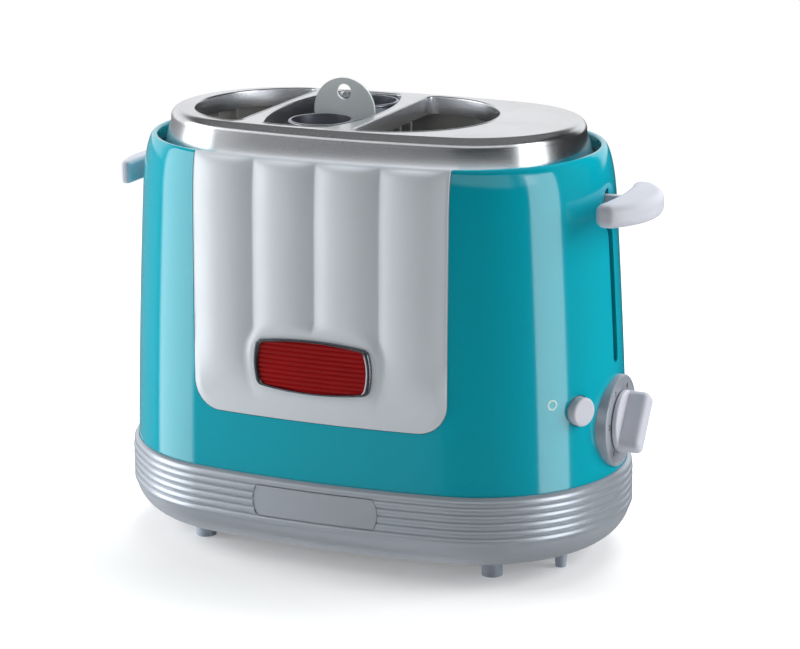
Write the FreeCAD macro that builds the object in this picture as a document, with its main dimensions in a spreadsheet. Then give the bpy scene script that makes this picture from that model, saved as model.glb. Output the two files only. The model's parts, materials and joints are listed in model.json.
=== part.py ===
import FreeCAD, Part
import Sketcher
import math
import os
import re
from types import SimpleNamespace

from FreeCAD import Placement, Rotation, Vector

# Hot dog toaster: two D-shaped bun slots with a lift-out twin-well cage between them.
# Drawn about the middle of the body: X right along the length, Y back, Z up, floor at zero.
# Every plan outline is an "oval": two wide arcs (front, back) and two end arcs, tangent.

X_AXIS, Y_AXIS, Z_AXIS = Vector(1, 0, 0), Vector(0, 1, 0), Vector(0, 0, 1)
SIDES = {"left": -1, "right": 1}
CORNERS = [(-1, -1), (1, -1), (1, 1), (-1, 1)]

# Driving dimensions in millimetres and degrees, copied to the spreadsheet.
SIZES = {
    # body shell where it meets the base and at its rim; flatness: half depth less end radius
    "seam_half_length": 133.5,
    "seam_half_depth": 79.7,
    "seam_flatness": 3.8,
    "rim_height": 212.3,
    "rim_end_inset": 13.7,
    "rim_side_inset": 7.8,
    "rim_flatness": 2.5,
    "shoulder_height": 26.0,
    "shoulder_length": 4.7,
    "shoulder_depth": 3.1,
    "shoulder_share": 0.4,
    "body_curve": 0.38,
    "body_wall": 2.4,
    "rim_lip": 3.8,
    "fit_gap": 0.3,
    "skirt": 2.8,
    # base shell
    "base_proud": 3.1,
    "base_bottom": 9.5,
    "base_wall": 2.4,
    "bowl_inset": 19.0,
    "bowl_height": 15.5,
    "bowl_bow": 4.2,
    "flange_width": 16.5,
    "flange_thickness": 2.2,
    "ridge_pitch": 4.0,
    "ridge_count": 5,
    "ridge_height": 0.9,
    "bead_height": 4.0,
    "bead_bow": 1.3,
    "bead_rise": 0.6,
    "ledge_inset": 6.5,
    "ledge_drop": 3.2,
    # floor plate, feet and frame
    "floor_thickness": 1.8,
    "vent_length": 34.0,
    "vent_width": 3.0,
    "vent_pitch": 7.0,
    "foot_radius": 5.4,
    "foot_inset": 52.0,
    "foot_side_inset": 35.7,
    "end_foot_inset": 24.0,
    "end_foot_y": 19.3,
    "end_foot_radius": 3.5,
    "end_foot_tip_radius": 2.8,
    "post_inset": 36.5,
    "post_side_inset": 41.7,
    "post_radius": 2.2,
    "frame_thickness": 1.0,
    "screw_head_radius": 3.2,
    "screw_head_height": 1.6,
    "screw_radius": 1.6,
    # top plate
    "plate_rise": 12.7,
    "plate_end_inset": 12.6,
    "plate_side_inset": 16.5,
    "plate_flatness": 3.8,
    "plate_shoulder": 6.5,
    "plate_shoulder_reach": 4.6,
    "plate_shoulder_bow": 1.7,
    "plate_flare": 1.2,
    "plate_skirt": 19.8,
    "plate_sheet": 1.2,
    "lip_drop": 9.0,
    "lip_proud": 0.8,
    "lip_width": 1.6,
    # openings in the top plate
    "slot_side_margin": 5.9,
    "left_slot_flat": -55.0,
    "left_slot_margin": 9.2,
    "right_slot_flat": 9.5,
    "right_slot_margin": 42.7,
    "slot_corner": 5.0,
    "centre_x": -23.5,
    "centre_half_width": 27.0,
    "centre_end_half_width": 16.5,
    "centre_end_bow": 1.0,
    # oven wall: a sheet ring of two straight sides and two half rounds
    "oven_gap": 0.4,
    "oven_end_gap": 2.0,
    "oven_sheet": 0.8,
    "oven_bottom": 24.0,
    "oven_drop": 1.8,
    # heaters and guards
    "board_thickness": 0.8,
    "heater_margin": 9.5,
    "board_drop": 27.0,
    "board_half_angle": 48.0,
    "ribbon_pitch": 12.0,
    "ribbon_width": 1.8,
    "ribbon_thickness": 0.25,
    "ribbon_margin": 4.0,
    "board_left_inner": -51.2,
    "board_right_inner": 5.6,
    "guard_radius": 0.8,
    "guard_gap": 0.6,
    "guard_pitch": 14.0,
    "guard_angle": 15.0,
    "rack_columns": 8,
    "rack_bar": 3.0,
    "rack_reach": 30.0,
    # carriage
    "travel": 74.0,
    "lift_clearance": 10.0,
    "ring_depth": 6.0,
    "ring_gap": 2.2,
    "ring_bar": 3.0,
    "bracket_over": 5.0,
    "bracket_half_width": 19.5,
    "bracket_tower_half_width": 8.0,
    "bracket_sheet": 3.0,
    "lug_height": 10.0,
    "lug_spacing": 58.0,
    "lug_size": 7.0,
    "rod_y": 16.0,
    "rod_radius": 2.0,
    "bush_wall": 1.4,
    "running_gap": 0.06,
    "spring_radius": 3.4,
    "spring_wire": 0.5,
    "spring_turns": 14,
    "finger_half_length": 11.0,
    "finger_pitch": 15.0,
    "finger_count": 5,
    "finger": 2.4,
    "cage_lift_radius": 12.0,
    "left_lift_offset": 1.5,
    "right_lift_offset": 1.0,
    # levers
    "lever_drop": 25.3,
    "lever_thickness": 12.0,
    "right_lever_gap": 5.66,
    "right_lever_depth": 21.0,
    "right_lever_sweep": -3.5,
    "right_lever_radius": 42.0,
    "right_lever_end": 32.0,
    "right_lever_corner": 4.2,
    "right_lever_round": 3.6,
    "left_lever_gap": 5.96,
    "left_lever_depth": 9.7,
    "left_lever_sweep": 0.3,
    "left_lever_radius": 60.0,
    "left_lever_end": 23.0,
    "left_lever_corner": 2.4,
    "left_lever_round": 2.2,
    "neck_half_width": 2.2,
    "neck_height": 9.0,
    "neck_bite": 7.2,
    "neck_behind": 12.34,
    "slot_behind": 24.0,
    "slot_width": 6.0,
    "slot_margin": 3.0,
    "scoop_radius": 45.0,
    "scoop_depth": 1.6,
    "arm_half_width": 0.6,
    "arm_height": 5.0,
    "arm_bite": 10.0,
    # cage
    "well_x": -17.5,
    "well_end_gap": 5.0,
    "well_radius": 16.0,
    "well_sheet": 0.8,
    "well_ring": 0.8,
    "well_drop": 0.2,
    "well_floor": 1.0,
    "well_foot": 12.0,
    "well_rim": 10.0,
    "window_width": 7.0,
    "window_rail": 9.0,
    "window_rows": 4,
    "tab_radius": 17.0,
    "tab_hole": 4.0,
    "tab_hole_drop": 7.2,
    "tab_sheet": 1.4,
    "tab_rise": 16.4,
    "tab_tail": 24.0,
    "tab_foot_drop": 12.0,
    "strap_width": 12.0,
    # front panel, badge and name plate
    "panel_half_width": 69.5,
    "panel_bottom": 80.5,
    "panel_corner": 15.0,
    "panel_seam": 0.2,
    "pillow_count": 4,
    "pillow_pitch": 34.2,
    "pillow_bulge": 2.6,
    "pillow_drop": 5.3,
    "pillow_bottom": 93.0,
    "pillow_power": 6.0,
    "pillow_sink": 0.2,
    "pillow_bite": 0.8,
    "badge_height": 110.0,
    "badge_half_length": 30.4,
    "badge_end_bow": 1.8,
    "badge_half_height": 11.6,
    "badge_crown": 2.4,
    "badge_corner": 4.0,
    "bezel_width": 2.6,
    "bezel_proud": 4.4,
    "insert_proud": 3.4,
    "pad_margin": 3.0,
    "pad_proud": 2.4,
    "name_half_length": 32.0,
    "name_end_bow": 2.4,
    "name_crown": 0.01,
    "name_corner": 2.0,
    "name_thickness": 1.2,
    "name_recess": 0.2,
    "name_gap": 0.1,
    # dial and timer
    "dial_gap": 1.8,
    "dial_radius": 23.6,
    "dial_face_radius": 20.6,
    "dial_proud": 2.075,
    "dial_chamfer": 3.0,
    "dial_hole": 4.5,
    "knob_radius": 15.8,
    "knob_flange": 2.4,
    "knob_length": 13.0,
    "knob_grip": 11.0,
    "knob_tilt": 36.0,
    "knob_edge": 1.2,
    "dial_depth": 14.0,
    "shaft_radius": 3.0,
    "shaft_bite": 8.0,
    "timer_radius": 10.0,
    "timer_length": 13.0,
    "board_behind": 25.6,
    "board_half_width": 34.0,
    "board_low": 46.0,
    "board_high": 103.0,
    "circuit_thickness": 1.6,
    "bracket_thickness": 1.5,
    "bracket_half_y": 30.0,
    "bracket_foot": 10.0,
    # cancel button
    "button_y": -34.0,
    "button_height": 88.4,
    "button_azimuth": -26.0,
    "button_radius": 7.4,
    "button_proud": 4.0,
    "button_gap": 0.5,
    "button_flange": 2.0,
    "button_edge": 1.2,
    "flange_back": 3.5,
    "button_stem": 1.6,
    "button_reach": 9.0,
    "switch_height": 1.7,
    "switch_size": 8.0,
    # latch magnet
    "magnet_gap": 13.9,
    "magnet_length": 12.0,
    "magnet_half_width": 11.0,
    "magnet_bottom": 60.0,
    "magnet_top": 84.0,
    "magnet_leg": 4.0,
    "coil_build": 2.0,
    "keeper_thickness": 3.0,
    # crumb tray
    "tray_left": -76.0,
    "tray_right": 52.0,
    "tray_front": -46.0,
    "tray_sheet": 0.9,
    "tray_side": 6.5,
    "tray_lift": 0.3,
    "tray_gap": 0.6,
    "tray_face_thickness": 3.0,
    "tray_face_height": 8.6,
    "tray_grip": 4.0,
    "tray_grip_half": 16.0,
    # mains inlet
    "gland_x": 64.0,
    "gland_height": 33.0,
    "gland_radius": 5.4,
    "gland_bore": 3.8,
    "gland_flange": 7.4,
    "gland_proud": 1.8,
    "gland_length": 14.0,
    "terminal_length": 22.0,
    "terminal_width": 11.0,
    "terminal_height": 12.0,
    "terminal_inset": 39.7,
}


def reach_at(level):
    """Formula of the body shell's half length at a height below its shoulder."""
    rise = f"(({level} - seam_height) / (rim_height - seam_height))"
    shrink = "(seam_half_length - rim_half_length - shoulder_length)"
    return f"seam_half_length - {shrink} * {rise} * (1 - body_curve + body_curve * {rise})"


# Levels and places that several parts share, worked out in the same sheet.
DERIVED = {
    "ridge_start": "base_bottom + bowl_height",
    "ridge_end": "ridge_start + ridge_count * ridge_pitch",
    "seam_height": "ridge_end + bead_height",
    "ledge": "seam_height - ledge_drop",
    "lip_top": "seam_height + bead_rise",
    "seam_end_radius": "seam_half_depth - seam_flatness",
    "rim_half_length": "seam_half_length - rim_end_inset",
    "rim_half_depth": "seam_half_depth - rim_side_inset",
    "plate_height": "rim_height + plate_rise",
    "lever_height": "rim_height - lever_drop",
    "pillow_top": "rim_height - pillow_drop",
    "board_top": "plate_height - board_drop",
    "well_top": "plate_height - well_drop",
    "tab_top": "plate_height + tab_rise",
    "tab_foot": "plate_height - tab_foot_drop",
    "foot_x": "seam_half_length - foot_inset",
    "foot_y": "seam_half_depth - foot_side_inset",
    "end_foot_x": "seam_half_length - end_foot_inset",
    "post_x": "seam_half_length - post_inset",
    "post_y": "seam_half_depth - post_side_inset",
    "terminal_y": "seam_half_depth - terminal_inset",
    "plate_half_length": "rim_half_length - plate_end_inset",
    "plate_half_depth": "rim_half_depth - plate_side_inset",
    "plate_end_radius": "plate_half_depth - plate_flatness",
    "slot_half_width": "plate_half_depth - slot_side_margin",
    "centre_half_length": "slot_half_width - centre_end_bow",
    "left_slot_reach": "plate_half_length - left_slot_margin + left_slot_flat",
    "right_slot_reach": "plate_half_length - right_slot_margin - right_slot_flat",
    "heater_half_width": "slot_half_width - heater_margin",
    "left_lift_x": "left_slot_flat - left_slot_reach / 2 + left_lift_offset",
    "right_lift_x": "right_slot_flat + right_slot_reach / 2 - right_lift_offset",
    "body_at_levers": reach_at("lever_height"),
    "dial_height": "lip_top + dial_gap + dial_radius",
    "body_at_dial": reach_at("dial_height"),
    "right_lever_root": "body_at_levers + right_lever_gap",
    "right_lever_tip": "right_lever_root + right_lever_sweep",
    "right_lever_reach": "right_lever_root + right_lever_depth",
    "left_lever_root": "body_at_levers + left_lever_gap",
    "left_lever_tip": "left_lever_root + left_lever_sweep",
    "left_lever_reach": "left_lever_root + left_lever_depth",
    "neck_inner": "body_at_levers - neck_behind",
    "well_y": "slot_half_width - well_radius - well_end_gap",
    "dial_face_x": "body_at_dial + dial_proud",
    "board_x": "dial_face_x - board_behind",
    "flange_top": "base_bottom + flange_thickness",
    "floor_top": "flange_top + floor_thickness",
    "frame_top": "plate_height - plate_skirt",
    "frame_bottom": "frame_top - frame_thickness",
    "oven_radius": "slot_half_width + lip_width + oven_gap",
    "oven_left": "left_slot_flat - left_slot_reach - lip_width - oven_end_gap + oven_radius",
    "oven_right": "right_slot_flat + right_slot_reach + lip_width + oven_end_gap - oven_radius",
    "oven_outer": "oven_radius + oven_sheet",
    "plate_under": "plate_height - plate_sheet",
    "oven_top": "plate_under - oven_drop",
    "rack_top": "oven_bottom + oven_sheet",
    "ring_inner": "oven_outer + ring_gap",
    "ring_outer": "ring_inner + ring_bar",
    "ring_bottom": "oven_bottom + travel + lift_clearance",
    "lift_height": "ring_bottom + ring_depth",
    "left_bracket_x": "oven_left - ring_outer - bracket_sheet",
    "right_bracket_x": "oven_right + ring_outer",
    "magnet_x": "right_bracket_x + bracket_sheet + magnet_gap",
    "bracket_height": "lever_height + bracket_over - ring_bottom",
    "screw_length": "floor_top - base_bottom",
    "upper_lug": "ring_bottom + lug_spacing",
    "left_rod_x": "left_bracket_x - lug_size / 2",
    "right_rod_x": "right_bracket_x + bracket_sheet + lug_size / 2",
    "slot_low": "lever_height - travel - neck_height / 2 - slot_margin",
    "slot_high": "lever_height + neck_height / 2 + slot_margin",
    "board_face": "board_x + circuit_thickness",
}

doc = FreeCAD.newDocument("HotDogToaster")
sheet = doc.addObject("Spreadsheet::Sheet", "Sizes")
cells = {**{alias: str(number) for alias, number in SIZES.items()},
         **{alias: "=" + rule for alias, rule in DERIVED.items()}}
for row, (alias, content) in enumerate(cells.items(), start=1):
    sheet.set(f"A{row}", alias)
    sheet.set(f"B{row}", content)
    sheet.setAlias(f"B{row}", alias)
doc.recompute()
S = SimpleNamespace(**{alias: sheet.get(alias) for alias in [*SIZES, *DERIVED]})
nodes = []


# ---------------------------------------------------------------- helpers: objects

def formula(text):
    """An expression whose size names are read from the spreadsheet."""
    names = lambda match: "Sizes." + match[0] if match[0] in cells else match[0]
    return re.sub(r"[a-z_]\w*", names, str(text))


def keep(obj, name):
    """Makes an object one of the parts that are written out, under this name."""
    obj.Label = name
    nodes.append(obj)
    return obj


def feature(name, shape, placement=None):
    """A Part::Feature that holds a shape built from the sheet's sizes."""
    obj = doc.addObject("Part::Feature", name)
    obj.Shape = shape
    if placement:
        obj.Placement = placement
    return obj


def block(name, x, y, z):
    """A box between low and high faces, each a formula of size names."""
    obj = doc.addObject("Part::Box", name)
    for side, axis, (low, high) in (("Length", "x", x), ("Width", "y", y), ("Height", "z", z)):
        obj.setExpression(side, formula(f"({high}) - ({low})"))
        obj.setExpression(f"Placement.Base.{axis}", formula(low))
    return obj


def rod(name, radius, height, at, axis="z"):
    """A round bar from a point along an axis; the radius, height and point are formulas."""
    turns = {"z": Rotation(), "x": Rotation(Y_AXIS, 90), "y": Rotation(X_AXIS, -90)}
    obj = doc.addObject("Part::Cylinder", name)
    obj.Placement = Placement(Vector(), turns[axis])
    obj.setExpression("Radius", formula(radius))
    obj.setExpression("Height", formula(height))
    for letter, place in zip("xyz", at):
        obj.setExpression(f"Placement.Base.{letter}", formula(place))
    return obj


def fuse(name, pieces):
    obj = doc.addObject("Part::MultiFuse", name)
    obj.Shapes = pieces
    return obj


def group(name, pieces):
    """Separate solids that share one part, such as a set of screws."""
    obj = doc.addObject("Part::Compound", name)
    obj.Links = pieces
    return obj


def common(name, base, tool):
    obj = doc.addObject("Part::Common", name)
    obj.Base, obj.Tool = base, tool
    return obj


def cut(name, base, tools):
    obj = doc.addObject("Part::Cut", name)
    obj.Base = base
    obj.Tool = tools[0] if len(tools) == 1 else fuse(name + "_tools", tools)
    return obj


# ---------------------------------------------------------------- helpers: PartDesign

def new_body(name):
    return keep(doc.addObject("PartDesign::Body", name), name)


def sketch_on(body, name, role, offset="0"):
    """A sketch on one of the body's own origin planes, moved along its normal."""
    sketch = body.newObject("Sketcher::SketchObject", name)
    plane = next(item for item in body.Origin.OriginFeatures if item.Role == role)
    sketch.AttachmentSupport = [(plane, "")]
    sketch.MapMode = "FlatFace"
    sketch.setExpression("AttachmentOffset.Base.z", formula(offset))
    return sketch


def constrain(sketch, kind, *points, value):
    index = sketch.addConstraint(Sketcher.Constraint(kind, *points, 1.0))
    sketch.setExpression(f"Constraints[{index}]", formula(value))


def rectangle(sketch, left, low, width, height):
    first = sketch.GeometryCount
    points = [Vector(1, 1, 0), Vector(2, 1, 0), Vector(2, 2, 0), Vector(1, 2, 0)]
    for k in range(4):
        sketch.addGeometry(Part.LineSegment(points[k], points[(k + 1) % 4]), False)
    for k in range(4):
        sketch.addConstraint(Sketcher.Constraint("Coincident", first + k, 2, first + (k + 1) % 4, 1))
        sketch.addConstraint(Sketcher.Constraint("Vertical" if k % 2 else "Horizontal", first + k))
    constrain(sketch, "DistanceX", -1, 1, first, 1, value=left)
    constrain(sketch, "DistanceY", -1, 1, first, 1, value=low)
    constrain(sketch, "DistanceX", first, 1, first, 2, value=width)
    constrain(sketch, "DistanceY", first + 1, 1, first + 1, 2, value=height)


def circle(sketch, x, y, radius):
    index = sketch.addGeometry(Part.Circle(Vector(1, 1, 0), Z_AXIS, 1), False)
    constrain(sketch, "DistanceX", -1, 1, index, 3, value=x)
    constrain(sketch, "DistanceY", -1, 1, index, 3, value=y)
    constrain(sketch, "Radius", index, value=radius)


def pad(body, sketch, length, reverse=False):
    obj = body.newObject("PartDesign::Pad", sketch.Name + "_pad")
    obj.Profile = sketch
    obj.Reversed = reverse
    obj.setExpression("Length", formula(length))
    return obj


# ---------------------------------------------------------------- helpers: outlines

def oval_bend(half_length, half_depth, end_radius):
    """Radius of an oval's wide arcs, and the angle that each spans to either side."""
    a, b, r = half_length, half_depth, end_radius
    wide = (b * b + (a - r) ** 2 - r * r) / (2 * (b - r))
    return wide, math.atan2(a - r, wide - b)


def oval_wire(half_length, half_depth, end_radius, z):
    """Four tangent arcs: front, right end, back, left end."""
    wide, lean = oval_bend(half_length, half_depth, end_radius)
    join_x = wide * math.sin(lean)
    join_y = wide * math.cos(lean) - (wide - half_depth)
    joins = [Vector(join_x * x, join_y * y, z) for x, y in CORNERS]
    tips = [Vector(0, -half_depth, z), Vector(half_length, 0, z),
            Vector(0, half_depth, z), Vector(-half_length, 0, z)]
    arcs = [Part.Arc(joins[k], tips[k], joins[(k + 1) % 4]) for k in range(4)]
    return Part.Wire([arc.toShape() for arc in arcs])


def oval_turning(half_length, half_depth, end_radius, steps):
    """Turns a closed profile all round an oval, arc by arc.

    A step of the profile is (inset, z), or (inset, z, bow) for an arc that bows outwards.
    """
    a, b, r = half_length, half_depth, end_radius
    wide, lean = oval_bend(a, b, r)
    lean = math.degrees(lean)
    arcs = [
        (Vector(0, wide - b, 0), wide, 270 - lean, 2 * lean),
        (Vector(a - r, 0, 0), r, lean - 90, 180 - 2 * lean),
        (Vector(0, b - wide, 0), wide, 90 - lean, 2 * lean),
        (Vector(r - a, 0, 0), r, 90 + lean, 180 - 2 * lean),
    ]
    sectors = []
    for centre, radius, start, sweep in arcs:
        outward = Vector(math.cos(math.radians(start)), math.sin(math.radians(start)), 0)
        face = Part.Face(profile_wire(steps, centre + outward * radius, outward))
        sectors.append(face.revolve(centre, Z_AXIS, sweep))
    return sectors[0].fuse(sectors[1:]).removeSplitter()


def profile_wire(steps, point, outward):
    """The closed profile in the upright plane through a point of the oval."""
    place = lambda step: point - outward * step[0] + Z_AXIS * step[1]
    edges = []
    for here, there in zip(steps, steps[1:] + steps[:1]):
        start, end = place(here), place(there)
        if len(there) == 2:
            edges.append(Part.LineSegment(start, end).toShape())
            continue
        side = Z_AXIS.cross(outward).cross(end - start).normalize()
        side = side if side.dot(outward) > 0 else side * -1
        edges.append(Part.Arc(start, (start + end) * 0.5 + side * there[2], end).toShape())
    return Part.Wire(edges)


def prism(wire, height):
    return Part.Face(wire).extrude(Z_AXIS * height)


def loft(wires):
    return Part.makeLoft(wires, True, False)


def rounded(wire, corner, grow=0.0):
    """The outline with its corners rounded, grown sideways all round."""
    return wire.makeOffset2D(-corner, 2).makeOffset2D(corner + grow, 0)


def stadium_wire(radius, z):
    """Two straight sides and two half rounds about the oven's two centres."""
    front = Part.LineSegment(Vector(S.oven_left, -radius, z), Vector(S.oven_right, -radius, z))
    back = Part.LineSegment(Vector(S.oven_right, radius, z), Vector(S.oven_left, radius, z))
    right_end = Part.Arc(front.EndPoint, Vector(S.oven_right + radius, 0, z), back.StartPoint)
    left_end = Part.Arc(back.EndPoint, Vector(S.oven_left - radius, 0, z), front.StartPoint)
    return Part.Wire([edge.toShape() for edge in (front, right_end, back, left_end)])


def stadium_ring(inner, outer, z, height):
    return prism(stadium_wire(outer, z), height).cut(prism(stadium_wire(inner, z), height))


def body_size(z):
    """Half length, half depth and end radius of the body shell at a height."""
    rise = max(0.0, (z - S.seam_height) / (S.rim_height - S.seam_height))
    drawn_in = rise * (1 - S.body_curve + S.body_curve * rise)
    bend = max(0.0, (z - S.rim_height) / S.shoulder_height + 1)
    round_over = 1 - math.sqrt(1 - bend * bend)
    shrink_x = S.seam_half_length - S.rim_half_length - S.shoulder_length
    shrink_y = S.seam_half_depth - S.rim_half_depth - S.shoulder_depth
    half_length = S.seam_half_length - shrink_x * drawn_in - S.shoulder_length * round_over
    half_depth = S.seam_half_depth - shrink_y * drawn_in - S.shoulder_depth * round_over
    done = drawn_in + (round_over - drawn_in) * S.shoulder_share
    flatness = S.seam_flatness + (S.rim_flatness - S.seam_flatness) * done
    return half_length, half_depth, half_depth - flatness


def body_wire(z, inset, shape_z=None):
    a, b, r = body_size(z if shape_z is None else shape_z)
    return oval_wire(a - inset, b - inset, r - inset, z)


def front_y(x, z):
    """Where the body shell's front surface is."""
    a, b, r = body_size(z)
    wide, lean = oval_bend(a, b, r)
    if abs(x) <= wide * math.sin(lean):
        return wide - b - math.sqrt(wide * wide - x * x)
    return -math.sqrt(r * r - (abs(x) - a + r) ** 2)


def body_loft(inset, top):
    """The body shell's outline as one smooth solid from the ledge up to a height."""
    span = top - S.seam_height
    heights = [S.seam_height + span * math.sin(k * math.pi / 16) for k in range(9)]
    lower = prism(body_wire(S.ledge, inset), S.seam_height - S.ledge)
    return lower.fuse(loft([body_wire(z, inset) for z in heights]))


def base_oval(inset=0.0):
    grow = S.base_proud - inset
    return S.seam_half_length + grow, S.seam_half_depth + grow, S.seam_end_radius + grow


def base_prism(inset, low, high):
    return prism(oval_wire(*base_oval(inset), low), high - low)


def base_band(inset_out, inset_in, low, high):
    return base_prism(inset_out, low, high).cut(base_prism(inset_in, low, high))


def plate_oval(grow=0.0):
    return S.plate_half_length + grow, S.plate_half_depth + grow, S.plate_end_radius + grow


def slot_wire(flat, reach, side, z):
    """D shape: a straight side at x = flat and an arc that reaches out from it."""
    half = S.slot_half_width
    low, high = Vector(flat, -half, z), Vector(flat, half, z)
    tip = Vector(flat + side * reach, 0, z)
    return Part.Wire([Part.LineSegment(high, low).toShape(), Part.Arc(low, tip, high).toShape()])


def bowed_wire(centre, across, along, half_across, half_along, bow_across, bow_along):
    """Four arcs between four corners: each side bows outwards."""
    corner = [centre + across * (half_across * x) + along * (half_along * y) for x, y in CORNERS]
    bulge = [
        centre - along * (half_along + bow_along),
        centre + across * (half_across + bow_across),
        centre + along * (half_along + bow_along),
        centre - across * (half_across + bow_across),
    ]
    arcs = [Part.Arc(corner[k], bulge[k], corner[(k + 1) % 4]) for k in range(4)]
    return Part.Wire([arc.toShape() for arc in arcs])


def opening_wires(grow, z):
    """The three openings of the top plate, grown sideways by the same amount."""
    belly = S.centre_half_width - S.centre_end_half_width
    centre = bowed_wire(
        Vector(S.centre_x, 0, z), X_AXIS, Y_AXIS,
        S.centre_end_half_width, S.centre_half_length, belly, S.centre_end_bow,
    )
    left = slot_wire(S.left_slot_flat, S.left_slot_reach, SIDES["left"], z)
    right = slot_wire(S.right_slot_flat, S.right_slot_reach, SIDES["right"], z)
    return [rounded(wire, S.slot_corner, grow) for wire in (left, centre, right)]


def openings(grow, z, height):
    left, centre, right = [prism(wire, height) for wire in opening_wires(grow, z)]
    return left.fuse([centre, right])


def box(x, y, z):
    """A plain box shape between low and high faces, for cutting."""
    return Part.makeBox(x[1] - x[0], y[1] - y[0], z[1] - z[0], Vector(x[0], y[0], z[0]))


# ---------------------------------------------------------------- base shell and floor

BEYOND = 200.0      # far outside the toaster, for cutting shapes that go right through
SCREW_ANGLES = [35, 145, 215, 325, 90, 270]


def base_steps():
    """Profile of the base shell, from the bottom edge up the outside and down the inside."""
    groove, wall = S.ridge_height, S.ridge_height + S.base_wall
    steps = [(S.bowl_inset, S.base_bottom), (groove, S.ridge_start, S.bowl_bow)]
    for k in range(1, int(S.ridge_count) + 1):
        steps.append((groove, S.ridge_start + k * S.ridge_pitch, S.ridge_height))
    return steps + [
        (S.skirt, S.lip_top, S.bead_bow),
        (S.skirt, S.ledge),
        (S.ledge_inset, S.ledge),
        (S.ledge_inset, S.ledge - S.base_wall),
        (wall, S.ledge - S.base_wall),
        (wall, S.ridge_start),
        (S.bowl_inset, S.flange_top, S.bowl_bow),
        (S.bowl_inset + S.flange_width, S.flange_top),
        (S.bowl_inset + S.flange_width, S.base_bottom),
    ]


def base_screws():
    """Six pan-head screws that hold the floor plate to the base shell's flange."""
    a, b, _ = base_oval(S.bowl_inset + S.flange_width - S.screw_head_radius - 1)
    screws = []
    for angle in SCREW_ANGLES:
        place = Vector(a * math.cos(math.radians(angle)), b * math.sin(math.radians(angle)), 0)
        head_low = place + Z_AXIS * (S.base_bottom - S.screw_head_height)
        head = Part.makeCylinder(S.screw_head_radius, S.screw_head_height, head_low)
        shank = Part.makeCylinder(S.screw_radius, S.screw_length, place + Z_AXIS * S.base_bottom)
        screws.append(head.fuse(shank))
    return Part.makeCompound(screws)


def front_prism(outline):
    """An upright outline driven back from in front of the toaster to its middle plane."""
    return Part.Face(outline).extrude(Y_AXIS * BEYOND)


def name_prism(grow):
    """The name plate covers four of the five ridges."""
    half_height = (S.ridge_end - S.ridge_start - S.ridge_pitch) / 2
    middle = Vector(0, -BEYOND, S.ridge_end - half_height)
    sizes = (S.name_half_length, half_height, S.name_end_bow, S.name_crown)
    return front_prism(rounded(bowed_wire(middle, X_AXIS, Z_AXIS, *sizes), S.name_corner, grow))


def tray_box(grow):
    """The space that the crumb tray's rear face fills in the back of the base shell."""
    low = S.floor_top + S.tray_lift - min(grow, S.tray_lift)
    high = S.floor_top + S.tray_lift + S.tray_face_height + grow
    return box((S.tray_left - grow, S.tray_right + grow), (0, BEYOND), (low, high))


gland_wide, _ = oval_bend(*base_oval(S.ridge_height))
gland_seat = (
    math.sqrt(gland_wide ** 2 - S.gland_x ** 2)
    - gland_wide + S.seam_half_depth + S.base_proud - S.ridge_height
)


def gland_cylinder(radius, low, high):
    start = Vector(S.gland_x, gland_seat + low, S.gland_height)
    return Part.makeCylinder(radius, high - low, start, Y_AXIS)


screw_shapes = base_screws()
base_outer = oval_turning(*base_oval(), base_steps())
name_inset = S.name_thickness + S.name_recess
name_space = base_band(-S.name_thickness, name_inset + S.name_gap, S.ridge_start, S.ridge_end)
name_pocket = name_prism(S.fit_gap).common(name_space)
gland_hole = gland_cylinder(S.gland_radius, -S.gland_length, S.gland_proud)
gland_seat_cut = gland_cylinder(S.gland_flange + S.fit_gap, 0, S.gland_length)
base_shape = base_outer.cut([name_pocket, gland_hole, gland_seat_cut, tray_box(S.tray_gap), screw_shapes])
keep(feature("BaseShell", base_shape), "base_shell")

name_band = base_band(S.name_recess, name_inset, S.ridge_start, S.ridge_end)
keep(feature("NamePlate", name_prism(0.0).common(name_band)), "name_plate")

floor_inset = S.bowl_inset + S.fit_gap
floor_shape = base_prism(floor_inset, S.flange_top, S.floor_top).cut(screw_shapes)
vents = []
for row in range(-4, 5):
    for side in SIDES.values():
        middle_x = side * (S.vent_length / 2 + S.vent_pitch)
        start = Vector(middle_x - S.vent_length / 2, row * S.vent_pitch - S.vent_width / 2, S.flange_top)
        vents.append(Part.makeBox(S.vent_length, S.vent_width, S.floor_thickness, start))
keep(feature("FloorPlate", floor_shape.cut(vents)), "floor_plate")
keep(feature("BaseScrews", screw_shapes), "base_screws")

feet = []
for k, (x, y) in enumerate(CORNERS):
    at = (f"{x} * foot_x", f"{y} * foot_y", "0")
    feet.append(rod(f"Foot{k}", "foot_radius", "base_bottom", at))
keep(group("RubberFeet", feet), "rubber_feet")

studs = []
for k, (x, y) in enumerate(CORNERS):
    stud = doc.addObject("Part::Cone", f"Stud{k}")
    stud.setExpression("Radius1", formula("end_foot_tip_radius"))
    stud.setExpression("Radius2", formula("end_foot_radius"))
    stud.setExpression("Height", formula("base_bottom"))
    stud.setExpression("Placement.Base.x", formula(f"{x} * end_foot_x"))
    stud.setExpression("Placement.Base.y", formula(f"{y} * end_foot_y"))
    studs.append(stud)
keep(group("EndFeet", studs), "end_feet")

posts = []
for k, (x, y) in enumerate(CORNERS):
    at = (f"{x} * post_x", f"{y} * post_y", "floor_top")
    posts.append(rod(f"Post{k}", "post_radius", "frame_bottom - floor_top", at))
keep(group("TiePosts", posts), "tie_posts")


# ---------------------------------------------------------------- body shell

def panel_wire(grow):
    """The front panel's outline: straight sides, rounded lower corners, open above the rim."""
    half, low, high = S.panel_half_width, S.panel_bottom, S.rim_height + S.panel_corner * 2
    points = [Vector(-half, -BEYOND, low), Vector(half, -BEYOND, low),
              Vector(half, -BEYOND, high), Vector(-half, -BEYOND, high)]
    return rounded(Part.makePolygon(points + points[:1]), S.panel_corner, grow)


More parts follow.
